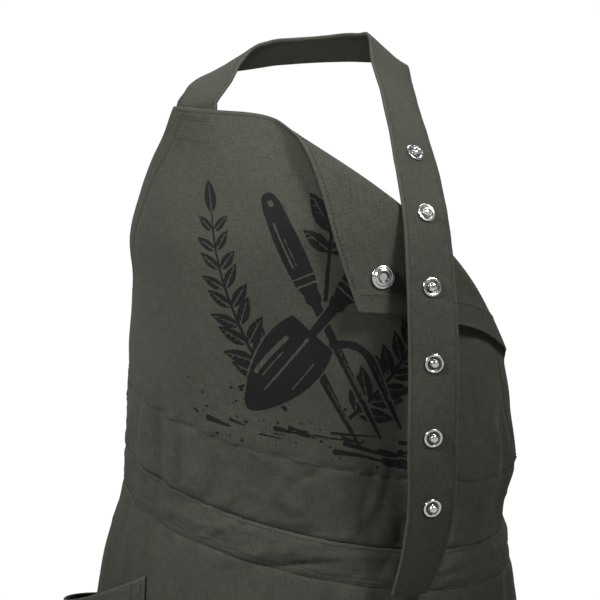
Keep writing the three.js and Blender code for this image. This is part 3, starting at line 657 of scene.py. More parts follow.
BIB_COLUMNS = (132, 18, 66)
BIB_ROWS = 168
HEM_THREAD_PROUD = 0.5
HEM_FOLD = 0.45
HEM_RAMP = 1.2
RUB_REACH = 1.6
FOLD_RUB_REACH = 3.5


def across_past_fold(height, past):
    """Place across a row of the bib that lies a given distance past the fold."""
    low, high = np.full(height.shape, -1.0 * BIB_TOP_WIDTH), np.full(height.shape, 2.0 * BIB_TOP_WIDTH)
    for _ in range(34):
        middle = (low + high) / 2
        nearer = fold_place(middle, height)[0] < past
        low, high = np.where(nearer, middle, low), np.where(nearer, high, middle)
    return (low + high) / 2


bib_heights = GAP / 2 + (BIB_HEIGHT - GAP / 2) * np.linspace(0, 1, BIB_ROWS)
bib_left, bib_half = bib_half_width(bib_heights, -1), bib_half_width(bib_heights)
fold_share = fold_place(across_past_fold(bib_heights, 0), bib_heights)[1]
half_roll = math.pi * fold_radius(fold_share) / 2
roll_start = np.minimum(across_past_fold(bib_heights, -half_roll), bib_half - 2 * SIDE_HEM)
roll_end = np.minimum(across_past_fold(bib_heights, half_roll), bib_half - SIDE_HEM)
zone_edges = (-bib_left, roll_start, roll_end, bib_half)
zones = [
    start[:, None] + (end - start)[:, None] * np.linspace(0, 1, count, endpoint=count == BIB_COLUMNS[-1])
    for start, end, count in zip(zone_edges, zone_edges[1:], BIB_COLUMNS)]
bib_across = np.concatenate(zones, axis=1)
bib_up = np.broadcast_to(bib_heights[:, None], bib_across.shape)
bib_in = bib_half_width(bib_up, bib_across) - np.abs(bib_across)
hem_share = np.clip((SIDE_HEM + HEM_RAMP / 2 - bib_in) / HEM_RAMP, 0, 1)
bib_rub = (near(bib_in, RUB_REACH) + near(BIB_HEIGHT - bib_up, RUB_REACH)
           + 0.5 * near(fold_place(bib_across, bib_up)[0], FOLD_RUB_REACH))
bib = sew_sheet("bib", bib_cloth(bib_across, bib_up), np.stack([bib_across, bib_up], -1), canvas,
                CLOTH / 2, CLOTH / 2 + HEM_FOLD * hem_share, bib_rub)
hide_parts("bib")

run = np.linspace(0, 1, 400)
bib_runs = []
for side in (-1, 1):
    height = 1 + (BIB_HEIGHT - 1 - TOP_STITCH) * run
    hem_line = side * (bib_half_width(height, side) - SIDE_HEM + HEM_STITCH)
    bib_runs += both_faces(bib_cloth, hem_line, height, CLOTH / 2 + THREAD_PROUD, (1,))
    bib_runs += both_faces(bib_cloth, hem_line, height, CLOTH / 2 + HEM_THREAD_PROUD, (-1,))
for height in (BIB_HEIGHT - TOP_STITCH, CASING):
    left, right = (float(bib_half_width(np.array(float(height)), side)) - 2 for side in (-1, 1))
    bib_runs += both_faces(bib_cloth, (left + right) * run - left, height + 0 * run, CLOTH / 2 + THREAD_PROUD)
STRAP_WIDTH = 34
STITCH_FROM_EDGE = 2
FOOT_MIDDLE = -BIB_TOP_WIDTH / 2 + STITCH_FROM_EDGE + STRAP_WIDTH / 2
FOOT_STITCHES = (6, 8, 22)
for below in FOOT_STITCHES:
    bib_runs += both_faces(bib_cloth, FOOT_MIDDLE + (STRAP_WIDTH / 2 - STITCH_FROM_EDGE) * (2 * run[::8] - 1),
                           BIB_HEIGHT - below + 0 * run[::8], CLOTH / 2 + THREAD_PROUD, (1,))
sew_stitches("bib_stitching", bib_runs, thread)


# Print: one screen-printed layer of near-black ink on the face of the bib, a crossed hand trowel and hand
# fork with leafy sprigs over a few strokes of soil. It runs under the folded corner and the strap.
PRINT_MIDDLE = (12.0, 146.0)
PRINT_REACH = (112.0, 100.0)
PRINT_PITCH = 0.62
INK_LIFT = 0.12
HANDLE_START = 10
HANDLE_LENGTH = 74
TOOL_LEAN = 32
TOOL_CROSSING = 4
BLADE_LENGTH = 74
BLADE_HALF_WIDTH = 21
TINE_SPREAD = 18
SPRIG_NODES = 12
SOIL_STROKES = 26
SOIL_SPECKS = 70


def turned(x, y, at_x, at_y, degrees):
    """Places seen from a spot, with x along a direction."""
    turn = math.radians(degrees)
    dx, dy = x - at_x, y - at_y
    return dx * math.cos(turn) + dy * math.sin(turn), dy * math.cos(turn) - dx * math.sin(turn)


def bar(x, y, length, start, end=None):
    """A bar from 0 along x that narrows from one half-width to another, with round ends."""
    end = start if end is None else end
    t = np.clip(x / length, 0, 1)
    return np.hypot(x - t * length, y) - (start + (end - start) * t)


def engraved(shape, *insides):
    """The shape with a line left bare where every one of the insides is above zero."""
    return np.maximum(shape, np.minimum.reduce(insides))


def leaf(x, y, length, half_width, veined=True):
    """A leaf from 0 along x, pointed at its tip, with its veins left bare."""
    t = np.clip(x / length, 0, 1)
    shape = np.maximum(np.abs(y) - half_width * np.sin(math.pi * t**0.8) ** 0.9,
                       np.abs(x - length / 2) - length / 2)
    if not veined:
        return shape
    shape = engraved(shape, 0.3 + 0.3 * (1 - t) - np.abs(y), length * 0.84 - x)
    pitch = length / 5.5
    stripes = np.abs(((x - np.abs(y) * 0.9) / pitch) % 1 - 0.5) * pitch
    return engraved(shape, 0.3 - stripes, half_width * 0.6 - y, y)


def handle(x, y, length):
    """A turned wooden handle from 0 along x: a swelling grip with two bare bands and a hole at its end."""
    t = np.clip(x / length, 0, 1)
    grip = 6.2 + 2.4 * np.sin(math.pi * t) - 1.5 * near(t - 0.12, 0.05)
    shape = np.maximum(np.abs(y) - grip * np.sqrt(np.clip(1 - ((t - 0.5) / 0.5) ** 12, 0, 1)),
                       np.abs(x - length / 2) - length / 2)
    shape = engraved(shape, 0.7 - np.abs(x - length * 0.2))
    shape = engraved(shape, 0.55 - np.abs(x - length * 0.27))
    shape = engraved(shape, 0.75 - np.abs(y - grip * 0.45), length * 0.2 - np.abs(x - length * 0.56))
    shape = engraved(shape, 0.45 - np.abs(y - grip * 0.1), length * 0.13 - np.abs(x - length * 0.5))
    return engraved(shape, 2.1 - np.hypot(x - length * 0.91, y))


def trowel(x, y):
    """A hand trowel with its handle up along +x and its blade down along -x, from the crossing."""
    shape = handle(x - HANDLE_START, y, HANDLE_LENGTH)
    shape = np.minimum(shape, bar(x + 14, y, 26, 2.6, 3.4))
    t = np.clip(-(x + 12) / BLADE_LENGTH, 0, 1)
    blade = np.maximum(np.abs(y) - BLADE_HALF_WIDTH * np.sin(math.pi * (0.14 + 0.86 * t) ** 0.72) ** 0.62,
                       np.abs(x + 12 + BLADE_LENGTH / 2) - BLADE_LENGTH / 2)
    blade = engraved(blade, 0.9 * (1 - t) + 0.25 - np.abs(y), 25 - np.abs(x + 42))
    blade = engraved(blade, 1.5 - np.abs(y - 9 - 3 * np.sin(math.pi * t)), 18 - np.abs(x + 44))
    blade = engraved(blade, 0.5 - np.abs(y - 5 - 2 * np.sin(math.pi * t)), 12 - np.abs(x + 48))
    blade = engraved(blade, 0.5 - np.abs(y + 13), 12 - np.abs(x + 40))
    return np.minimum(shape, blade)


def fork(x, y):
    """A hand fork with its handle up along +x and its three tines down along -x."""
    shape = handle(x - HANDLE_START, y, HANDLE_LENGTH)
    shape = np.minimum(shape, bar(x + 16, y, 28, 2.6, 3.4))
    yoke = np.abs(np.hypot(x + 36, y) - TINE_SPREAD) - 2.6
    shape = np.minimum(shape, np.maximum(yoke, -(x + 36)))
    for spread in (-TINE_SPREAD, 0, TINE_SPREAD):
        start = 36 if spread else 16
        tx, ty = -(x + start), y - spread * (1 - 0.1 * np.clip(-(x + 36) / 50, 0, 1))
        length = 86 - start
        tine = bar(tx, ty, length, 3.0, 0.9)
        shape = np.minimum(shape, engraved(tine, 0.4 - np.abs(ty + 0.9), length * 0.6 - tx, tx - 3))
    return shape


def sprig(x, y, side):
    """A curved leafy stem that rises beside the tools."""
    shape = np.full(x.shape, 99.0)
    bend = np.linspace(0, 1, SPRIG_NODES)
    stem_x = side * (20 + 66 * np.sin(1.25 * bend))
    stem_y = -62 + 118 * bend**1.15
    for i in range(len(bend) - 1):
        length = math.hypot(stem_x[i + 1] - stem_x[i], stem_y[i + 1] - stem_y[i])
        turn = math.degrees(math.atan2(stem_y[i + 1] - stem_y[i], stem_x[i + 1] - stem_x[i]))
        sx, sy = turned(x, y, stem_x[i], stem_y[i], turn)
        shape = np.minimum(shape, bar(sx, sy, length, 1.3 - 0.07 * i, 1.23 - 0.07 * i))
        if i < 1:
            continue
        size = 27 * (1 - 0.045 * i)
        for lean in (48, -46):
            lx, ly = turned(x, y, stem_x[i], stem_y[i], turn + lean + 6 * math.sin(3 * i + side))
            shape = np.minimum(shape, leaf(lx - 1, ly, size, size * 0.2))
    lx, ly = turned(x, y, stem_x[-1], stem_y[-1], turn)
    return np.minimum(shape, leaf(lx, ly, 22, 4.6))


def ink_at(x, y):
    """Below zero where there is ink, about the middle of the print."""
    blade_side = trowel(*turned(x, y, 0, TOOL_CROSSING, 90 - TOOL_LEAN))
    fork_side = fork(*turned(x, y, 0, TOOL_CROSSING, 90 + TOOL_LEAN))
    tools = np.minimum(blade_side, fork_side)
    shape = np.minimum(blade_side, np.maximum(fork_side, 1.1 - blade_side))
    for side in (-1, 1):
        shape = np.minimum(shape, np.maximum(sprig(x, y, side), 1.4 - tools))
    for i, (rise, lean) in enumerate(((60, 90), (62, 128), (62, 52), (50, 152), (50, 28))):
        lx, ly = turned(x, y, 0, rise, lean)
        shape = np.minimum(shape, leaf(lx, ly, 30 - 3 * i, 6.4 - 0.4 * i))
    shape = np.minimum(shape, bar(*turned(x, y, 0, 18, 90), 44, 1.4, 1.0))
    draw = np.random.default_rng(5)
    for _ in range(SOIL_STROKES):
        at_x, at_y = draw.uniform(-86, 70), draw.normal(-78, 5)
        length, thick = draw.uniform(6, 34), draw.uniform(0.5, 2.2)
        sx, sy = turned(x, y, at_x, at_y, draw.uniform(-7, 5))
        shape = np.minimum(shape, bar(sx, sy, length, thick, thick * 0.3))
    for _ in range(SOIL_SPECKS):
        at_x, at_y, size = draw.uniform(-95, 95), draw.normal(-74, 12), draw.uniform(0.4, 1.5)
        shape = np.minimum(shape, np.hypot(x - at_x, (y - at_y) * 1.4) - size)
    return shape


def print_ink():
    """Triangles of the ink on a fine grid of the cloth, cut along the edges of the drawing."""
    count_x, count_y = (int(2 * reach / PRINT_PITCH) for reach in PRINT_REACH)
    x = np.linspace(-PRINT_REACH[0], PRINT_REACH[0], count_x)
    y = np.linspace(-PRINT_REACH[1], PRINT_REACH[1], count_y)
    grid_x, grid_y = np.meshgrid(x, y)
    ragged = 0.22 * soft_noise(grid_x + 400, grid_y + 400, 1.6, 21)
    depth = ink_at(grid_x, grid_y) + ragged
    across, height = grid_x + PRINT_MIDDLE[0], grid_y + PRINT_MIDDLE[1]
    past, share = fold_place(across, height)
    rolled = past + math.pi * fold_radius(share) / 2 + 1
    side = np.abs(across) - bib_half_width(height, across) + SIDE_HEM + 2
    depth = np.maximum(depth, np.maximum(rolled, side))
    flat = np.stack([across, height], -1).reshape(-1, 2)
    depth = depth.reshape(-1)
    index = np.arange(count_x * count_y).reshape(count_y, count_x)
    cells = grid_cells(index)
    triangles = np.concatenate([cells[:, (0, 1, 2)], cells[:, (0, 2, 3)]])
    inked = depth[triangles] < 0
    kept = [flat[triangles[inked.all(1)]]]
    for inside in (1, 2):
        chosen = triangles[inked.sum(1) == inside]
        marks = depth[chosen] < 0
        odd = np.argmax(marks if inside == 1 else ~marks, axis=1)
        order = (odd[:, None] + np.arange(3)) % 3
        chosen = np.take_along_axis(chosen, order, 1)
        corner, next_one, last = (flat[chosen[:, i]] for i in range(3))
        depths = depth[chosen]
        cut_next = depths[:, :1] / (depths[:, :1] - depths[:, 1:2])
        cut_last = depths[:, :1] / (depths[:, :1] - depths[:, 2:])
        on_next = corner + (next_one - corner) * cut_next
        on_last = corner + (last - corner) * cut_last
        if inside == 1:
            kept.append(np.stack([corner, on_next, on_last], 1))
        else:
            kept.append(np.stack([on_next, next_one, last], 1))
            kept.append(np.stack([on_next, last, on_last], 1))
    corners = np.concatenate(kept)
    sides = corners - np.roll(corners, 1, axis=1)
    area = np.abs(sides[:, 0, 0] * sides[:, 1, 1] - sides[:, 0, 1] * sides[:, 1, 0])
    corners = corners[area > 1e-6]
    places, faces = np.unique(np.round(corners.reshape(-1, 2), 4), axis=0, return_inverse=True)
    return places, faces.reshape(-1, 3)


ink, wire = start_finish("ink")
ink_place = wire.node("Attribute", {"attribute_name": "pattern"}, {}, "Vector")
ink_across, ink_up, _ = wire.node("SeparateXYZ", {}, {0: ink_place}, (0, 1, 2))
ink_turn = 2 * math.pi / THREAD_PITCH
ink_weave = wire.math("SINE", ink_across * ink_turn) * wire.math("SINE", ink_up * ink_turn)
ink_grain = wire.node("TexNoise", {}, {"Vector": ink_place, "Scale": 1.7, "Detail": 3.0}, "Fac")
thin = wire.node("ValToRGB", {"stops": [(0.6, (0, 0, 0)), (0.72, (1, 1, 1))]}, {0: ink_grain}, "Color")
INK_COLOUR = (0.0024, 0.0023, 0.0025, 1)
INK_WORN = (0.007, 0.007, 0.006, 1)
end_finish(wire, {
    "Base Color": wire.node("Mix", {"data_type": "RGBA"}, {0: thin, 6: INK_COLOUR, 7: INK_WORN}, 2),
    "Roughness": 0.72 + ink_grain * 0.2,
    "Specular IOR Level": 0.06,
    "Normal": wire.node("Bump", {}, {"Strength": 0.3, "Distance": 0.0003,
                                     "Height": ink_weave * 0.5 + ink_grain}),
})
print_places, print_faces = print_ink()
print_points, print_out = facing(bib_cloth, print_places[:, 0], print_places[:, 1])
finish_piece(
    "print", print_points + print_out * (CLOTH / 2 + INK_LIFT), print_faces.tolist(), ink,
    np.concatenate([print_places, 0 * print_places[:, :1]], -1))


# Waistband: a doubled strip of the same canvas. The bib is sewn into its upper edge and the skirt into its
# lower one, and it is topstitched once above and twice below.
BAND_HEIGHT = 27
BAND_THICKNESS = 1.8
BAND_STITCHES = (24.6, 2.2, 5.2)
BAND_SEAM_FROM_EDGE = 2.4
BAND_RUB_REACH = 1.4
LOWER_SEAM = 0.35
SKIRT_FLARE = 1.1
BAND_GRID = (240, 16)
band_half = float(bib_half_width(np.array(0.0)))


def hip_point(across, below, lift):
    """Points of the cloth below the waist seam."""
    flare = 1 + (SKIRT_FLARE - 1) * (below / SKIRT_LENGTH)
    return body_point(WAIST_SHIFT + across * flare, seam_height(WAIST_SHIFT + across) - below, lift)


def band_cloth(across, up):
    """Middle of the waistband, heights measured up from its lower edge."""
    below = BAND_HEIGHT - up
    creases = (1.2 * soft_noise(across * 0.3 + 0.5 * below + 90, below, 7, 31)
               + 0.5 * soft_noise(across, below, 5, 32)
               + 1.2 * creases_at(across * 0.5, below + 0.12 * across, 11, 33))
    seams = -0.35 * (near(below - BAND_SEAM_FROM_EDGE, 1.3) + near(up - BAND_SEAM_FROM_EDGE, 1.3))
    sunk = seam_dip(across, below) + LOWER_SEAM * seam_dip(across, up)
    free = np.sin(math.pi * np.clip(up / BAND_HEIGHT, 0, 1))
    return hip_point(across, below, creases * free + seams + sunk)


band_across, band_up = np.meshgrid(
    np.linspace(-band_half, band_half, BAND_GRID[0]),
    np.linspace(GAP / 2, BAND_HEIGHT - GAP / 2, BAND_GRID[1]))
band_rub = near(BAND_HEIGHT - band_up, BAND_RUB_REACH) + near(band_up, BAND_RUB_REACH)
waistband = sew_sheet("waistband", band_cloth(band_across, band_up), np.stack([band_across, band_up], -1),
                      canvas, BAND_THICKNESS / 2, BAND_THICKNESS / 2, 0.7 * band_rub)
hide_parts("waistband")
band_runs = []
for up in BAND_STITCHES:
    band_runs += both_faces(band_cloth, (band_half - STITCH_FROM_EDGE) * (2 * run - 1), up + 0 * run,
                            BAND_THICKNESS / 2 + THREAD_PROUD)
sew_stitches("waistband_stitching", band_runs, thread)


# Skirt: one wide cut of canvas that hangs from the waistband in soft folds, hemmed at its sides and foot.
# The photograph ends above its hem.
SKIRT_FOLDS = 9
SKIRT_FOLD_DEPTH = 5
SKIRT_GRID = (230, 150)
FOOT_HEM = 22
SKIRT_GATHER_RUN = 45
SKIRT_RUB_REACH = 1.8


def skirt_lift(across, below):
    """How far the skirt's main folds stand out, more toward the hem."""
    share = np.clip(below / SKIRT_LENGTH, 0, 1)
    phase = math.pi * SKIRT_FOLDS * across / band_half + 0.8 * np.sin(3 * across / band_half)
    return SKIRT_FOLD_DEPTH * share * np.cos(phase)


def skirt_wrinkles(across, below):
    """Small rise and fall of the skirt's canvas, with gathers under the waistband."""
    under = below - BAND_HEIGHT
    hang = np.clip(under / 25, 0, 1)
    wave = 0.6 * soft_noise(across, below * 0.35, 26, 41) + 0.25 * soft_noise(across, below, 14, 42)
    gather = near(under, SKIRT_GATHER_RUN) * (
        2.0 * soft_noise(across, below * 0.14, 10, 43) + creases_at(across, below * 0.4, 17, 45))
    hem = hem_pucker(across, below, band_half - np.abs(across), 44)
    foot = near(SKIRT_LENGTH - under - FOOT_HEM, HEM_DIP) * -0.25
    sewn = 1 - near(under, SEAM_HOLD)
    return (wave * hang + gather + hem + foot) * sewn + LOWER_SEAM * seam_dip(across, under)


def skirt_cloth(across, up):
    """Middle of the skirt's cloth, heights measured up from its hem."""
    below = BAND_HEIGHT + SKIRT_LENGTH - up
    return hip_point(across, below, skirt_lift(across, below) + skirt_wrinkles(across, below))


skirt_across, skirt_up = np.meshgrid(
    np.linspace(-band_half, band_half, SKIRT_GRID[0]),
    np.linspace(0, SKIRT_LENGTH - GAP / 2, SKIRT_GRID[1]))
skirt_in = band_half - np.abs(skirt_across)
skirt_hem = np.clip((np.maximum(SIDE_HEM - skirt_in, FOOT_HEM - skirt_up) + HEM_RAMP / 2) / HEM_RAMP, 0, 1)
skirt_rub = near(skirt_in, SKIRT_RUB_REACH) + near(skirt_up, SKIRT_RUB_REACH)
skirt = sew_sheet("skirt", skirt_cloth(skirt_across, skirt_up), np.stack([skirt_across, skirt_up], -1),
                  canvas, CLOTH / 2, CLOTH / 2 + HEM_FOLD * skirt_hem, skirt_rub)
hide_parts("skirt")
long_run = np.linspace(0, 1, 700)
skirt_runs = []
for side in (-1, 1):
    skirt_runs += both_faces(skirt_cloth, side * (band_half - SIDE_HEM + HEM_STITCH) + 0 * long_run,
                             2 + (SKIRT_LENGTH - 4) * long_run, CLOTH / 2 + THREAD_PROUD, (1,))
skirt_runs += both_faces(skirt_cloth, (band_half - STITCH_FROM_EDGE) * (2 * long_run - 1),
                         FOOT_HEM - HEM_STITCH + 0 * long_run, CLOTH / 2 + THREAD_PROUD, (1,))
sew_stitches("skirt_stitching", skirt_runs, thread)


# Patch pockets: two cuts of canvas sewn to the skirt at their sides and foot with two rows of stitches.
# Their slanting mouths are hemmed and gape.
POCKET_WIDTH = 122
POCKET_DEPTH = 210
POCKET_SLANT = 66
POCKET_BELOW_SEAM = 66
POCKET_FROM_MIDDLE = 156
POCKET_GAPE = 24
POCKET_SEAT = 0.9
POCKET_GRID = (84, 96)
MOUTH_HEM = 15
MOUTH_FOLD = 0.3
POCKET_STITCHES = (2.0, 7.0)

pocket_across, pocket_up = np.meshgrid(np.linspace(0, 1, POCKET_GRID[0]), np.linspace(0, 1, POCKET_GRID[1]))
for side, name in ((-1, "pocket_left"), (1, "pocket_right")):
    def pocket_cloth(u, up, side=side):
        """The pocket at shares of its width and height, the mouth at 1."""
        v = 1 - up
        arch = np.sin(math.pi * np.clip(u, 0, 1))
        from_front = u if side > 0 else 1 - u
        across = side * POCKET_FROM_MIDDLE + (u - 0.5) * POCKET_WIDTH
        mouth = POCKET_SLANT * from_front + POCKET_GAPE / 2 * arch
        below = POCKET_BELOW_SEAM + mouth + (POCKET_DEPTH - mouth) * v
        gape = POCKET_GAPE * arch**0.8 * (1 - np.clip(v, 0, 1) ** 1.6)
        own = 0.5 * soft_noise(across + 300, below, 17, 51) * arch
        lift = skirt_lift(across, below) + CLOTH + POCKET_SEAT + gape
        return hip_point(across, below, lift + own + skirt_wrinkles(across, below))

    middle = pocket_cloth(pocket_across, pocket_up)
    flat = np.stack([pocket_across * POCKET_WIDTH, pocket_up * POCKET_DEPTH], -1)
    rub = (near((1 - pocket_up) * POCKET_DEPTH, 2)
           + near(np.minimum(pocket_across, 1 - pocket_across) * POCKET_WIDTH, RUB_REACH))
    hem = np.clip((MOUTH_HEM - (1 - pocket_up) * POCKET_DEPTH) / HEM_RAMP, 0, 1)
    pocket = sew_sheet(name, middle, flat, canvas, CLOTH / 2, CLOTH / 2 + MOUTH_FOLD * hem, rub)
    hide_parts(name)

    def pocket_millimetres(x, y, cloth=pocket_cloth):
        return cloth(x / POCKET_WIDTH, y / POCKET_DEPTH)

    pocket_runs = []
    for inset in POCKET_STITCHES:
        for u in (inset, POCKET_WIDTH - inset):
            pocket_runs += both_faces(pocket_millimetres, u + 0 * run, inset + (POCKET_DEPTH - inset) * run,
                                      CLOTH / 2 + THREAD_PROUD, (1,))
        pocket_runs += both_faces(pocket_millimetres, inset + (POCKET_WIDTH - 2 * inset) * run,
                                  inset + 0 * run, CLOTH / 2 + THREAD_PROUD, (1,))
    mouth_run = STITCH_FROM_EDGE + (POCKET_WIDTH - 2 * STITCH_FROM_EDGE) * run
    pocket_runs += both_faces(pocket_millimetres, mouth_run, POCKET_DEPTH - MOUTH_HEM + 0 * run,
                              CLOTH / 2 + THREAD_PROUD, (1,))
    sew_stitches(name + "_stitching", pocket_runs, thread)


# Neck strap: a strip of canvas folded in on itself and stitched along both edges. Its foot is sewn behind
# the bib's corner, and the rest runs round the back of the neck and hangs open down the front.
STRAP_THICKNESS = 2
STRAP_FOOT = 25
STRAP_ABOVE_FOOT = 3.5
STRAP_SEAT = 0.8
STRAP_EDGE_STITCH = 2.2
STRAP_GRID = (21, 560)
STRAP_RUB_REACH = 1.3
STRAP_COLOUR = (0.0158, 0.0162, 0.0128)
# across, out, up as shares of the body's half-width, half-depth and the bib's height; facing, lean
STRAP_PATH = (
    (-0.475, -0.5, 1.123, 127, -8),
    (-0.42, -0.25, 1.162, 140, 12),
    (-0.345, 0.04, 1.19, 142, 28),
    (-0.25, 0.38, 1.199, 138, 36),
    (-0.12, 0.62, 1.206, 110, 34),
    (0.06, 0.72, 1.212, 90, 33),
    (0.24, 0.64, 1.218, 70, 34),
    (0.39, 0.34, 1.221, 40, 36),
    (0.45, 0.0, 1.214, 12, 40),
    (0.475, -0.17, 1.158, 28, 24),
    (0.511, -0.4, 1.087, 46, 8),
    (0.556, -0.67, 0.993, 42, 2),
    (0.612, -1.1, 0.828, 30, 0),
    (0.637, -1.27, 0.659, 19, 0),
    (0.651, -1.31, 0.47, 11, 0),
    (0.649, -1.29, 0.279, 15, 0),
    (0.649, -1.19, 0.086, 20, 0),
    (0.614, -1.13, -0.032, 27, -4),
    (0.549, -1.08, -0.141, 38, -8),
)


def curve_through(nodes, t, even):
    """Points of a smooth curve through nodes at shares t of their number: an even one takes the nodes as
    equally far apart, and the other goes by the square root of their distance."""
    nodes = np.array(nodes, float)
    nodes = np.concatenate([[2 * nodes[0] - nodes[1]], nodes, [2 * nodes[-1] - nodes[-2]]])
    place = np.asarray(t) * (len(nodes) - 3)
    i = np.minimum(place.astype(int), len(nodes) - 4)
    w = (place - i)[:, None]
    p0, p1, p2, p3 = (nodes[i + k] for k in range(4))
    if even:
        leave, meet = (p2 - p0) / 2, (p3 - p1) / 2
    else:
        d0, d1, d2 = (np.sqrt(np.linalg.norm(q - p, axis=1, keepdims=True))
                      for p, q in ((p0, p1), (p1, p2), (p2, p3)))
        leave = ((p1 - p0) / d0 - (p2 - p0) / (d0 + d1) + (p2 - p1) / d1) * d1
        meet = ((p2 - p1) / d1 - (p3 - p1) / (d1 + d2) + (p3 - p2) / d2) * d1
    return hermite(w, p1, leave, p2, meet)


foot_lift = -(CLOTH + STRAP_THICKNESS) / 2 - STRAP_SEAT
foot_heights = BIB_HEIGHT + np.array([-STRAP_FOOT, -STRAP_FOOT / 2, 0, STRAP_ABOVE_FOOT])
foot_edges = []
for across in (FOOT_MIDDLE + STRAP_WIDTH / 2, FOOT_MIDDLE - STRAP_WIDTH / 2):
    foot_across = across + 0 * foot_heights
    lift_without_creases = foot_lift - relief_at(CREASES, foot_across, foot_heights)
    foot_edges.append(bib_point(foot_across, foot_heights, lift_without_creases))
foot_inner, foot_outer = foot_edges
path = np.array(STRAP_PATH)
bearing, lean = np.radians(path[:, 3]), np.radians(path[:, 4])
strap_middles = np.concatenate([
    (foot_inner + foot_outer) / 2,
    path[:, :3] * (BODY_HALF_WIDTH, BODY_HALF_DEPTH, BIB_HEIGHT)])
foot_widths = foot_outer - foot_inner
strap_widths = np.concatenate([
    foot_widths / np.linalg.norm(foot_widths, axis=1, keepdims=True),
    np.stack([np.cos(bearing) * np.cos(lean), np.sin(bearing) * np.cos(lean), -np.sin(lean)], -1)])


def strap_frame(t):
    """Middle, width direction and outward normal of the strap at shares of its nodes."""
    step = 1e-4
    middle = curve_through(strap_middles, t, False)
    ahead = (curve_through(strap_middles, np.minimum(t + step, 1), False)
             - curve_through(strap_middles, np.maximum(t - step, 0), False))
    ahead /= np.linalg.norm(ahead, axis=1, keepdims=True)
    width = curve_through(strap_widths, t, True)
    width -= ahead * (width * ahead).sum(1, keepdims=True)
    width /= np.linalg.norm(width, axis=1, keepdims=True)
    return middle, width, np.cross(ahead, width)


strap_t = np.linspace(0, 1, 201)
strap_steps = np.linalg.norm(np.diff(curve_through(strap_middles, strap_t, False), axis=0), axis=1)
strap_lengths = np.concatenate([[0], np.cumsum(strap_steps)])
STRAP_LENGTH = strap_lengths[-1]

STUD_COUNT = 6
STUD_PITCH = 50.5
STUD_FROM_END = 66
STUD_STEADY = 11
DIMPLE_RADIUS = 8
stud_lengths = STRAP_LENGTH - STUD_FROM_END - STUD_PITCH * np.arange(STUD_COUNT)[::-1]


def strap_cloth(aside, along):
    """The strap at millimetres from its middle line, and along it from its foot."""
    aside, along = np.broadcast_arrays(np.asarray(aside, float), np.asarray(along, float))
    shape = along.shape
    middle, width, normal = strap_frame(np.interp(along.ravel(), strap_lengths, strap_t))
    at = along.ravel()
    across = aside.ravel()
    steady = np.ones_like(at)
    dimple = np.zeros_like(at)
    for place in stud_lengths:
        away = np.hypot(at - place, across)
        steady *= 1 - near(away, STUD_STEADY)
        dimple -= 0.25 * near(away - DIMPLE_RADIUS, 3)
    wave = 0.35 * soft_noise(at, across, 22, 61) + 0.18 * soft_noise(at, across, 9, 62)
    seam = -0.3 * near(STRAP_WIDTH / 2 - STRAP_EDGE_STITCH - np.abs(across), 1.3)
    lift = wave * steady + seam + dimple
    point = middle + width * across[:, None] + normal * lift[:, None]
    return point.reshape(*shape, 3)


strap_aside, strap_along = np.meshgrid(
    np.linspace(STRAP_WIDTH / 2, -STRAP_WIDTH / 2, STRAP_GRID[0]),
    np.linspace(0, STRAP_LENGTH, STRAP_GRID[1]))
strap_rub = (near(STRAP_WIDTH / 2 - np.abs(strap_aside), STRAP_RUB_REACH)
             + near(STRAP_LENGTH - strap_along, STRAP_RUB_REACH))
strap_canvas = canvas_finish("strap_canvas", STRAP_COLOUR)
neck_strap = sew_sheet(
    "neck_strap", strap_cloth(strap_aside, strap_along)[:, ::-1],
    np.stack([strap_aside + 500, strap_along], -1)[:, ::-1], strap_canvas,
    STRAP_THICKNESS / 2, STRAP_THICKNESS / 2, strap_rub[:, ::-1])
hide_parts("neck_strap")

strap_run = np.linspace(0, 1, 1600)
strap_runs = []
strap_edge = STRAP_WIDTH / 2 - STRAP_EDGE_STITCH
for edge in (-strap_edge, strap_edge):
    strap_runs += both_faces(strap_cloth, edge + 0 * strap_run, 1 + (STRAP_LENGTH - 3) * strap_run,
                             STRAP_THICKNESS / 2 + THREAD_PROUD)
end_run = np.linspace(-strap_edge, strap_edge, 60)
strap_runs += both_faces(strap_cloth, end_run, STRAP_LENGTH - STRAP_EDGE_STITCH + 0 * end_run,
                         STRAP_THICKNESS / 2 + THREAD_PROUD)
sew_stitches("strap_stitching", strap_runs, thread)


# Snap fasteners: nickel-plated ball studs pressed through the strap, each a cap behind, a post, a dished
# flange in front and the ball, and one socket with a split spring, pressed through the bib's corner.
STUD_FLANGE_RADIUS = 6.4
STUD_RIM = 1
STUD_BALL_RADIUS = 2.9
STUD_BALL_HEIGHT = 3.6
STUD_POST_RADIUS = 2
STUD_SEAT = 0.5
SOCKET_RADIUS = 7.9
SOCKET_HEIGHT = 2.4
SOCKET_HOLE_RADIUS = 3.3
SOCKET_SEAT = 0.7
SNAP_SIDES = 64
NICKEL_COLOUR = (0.42, 0.415, 0.4)
CORNER_CUT = 0.22

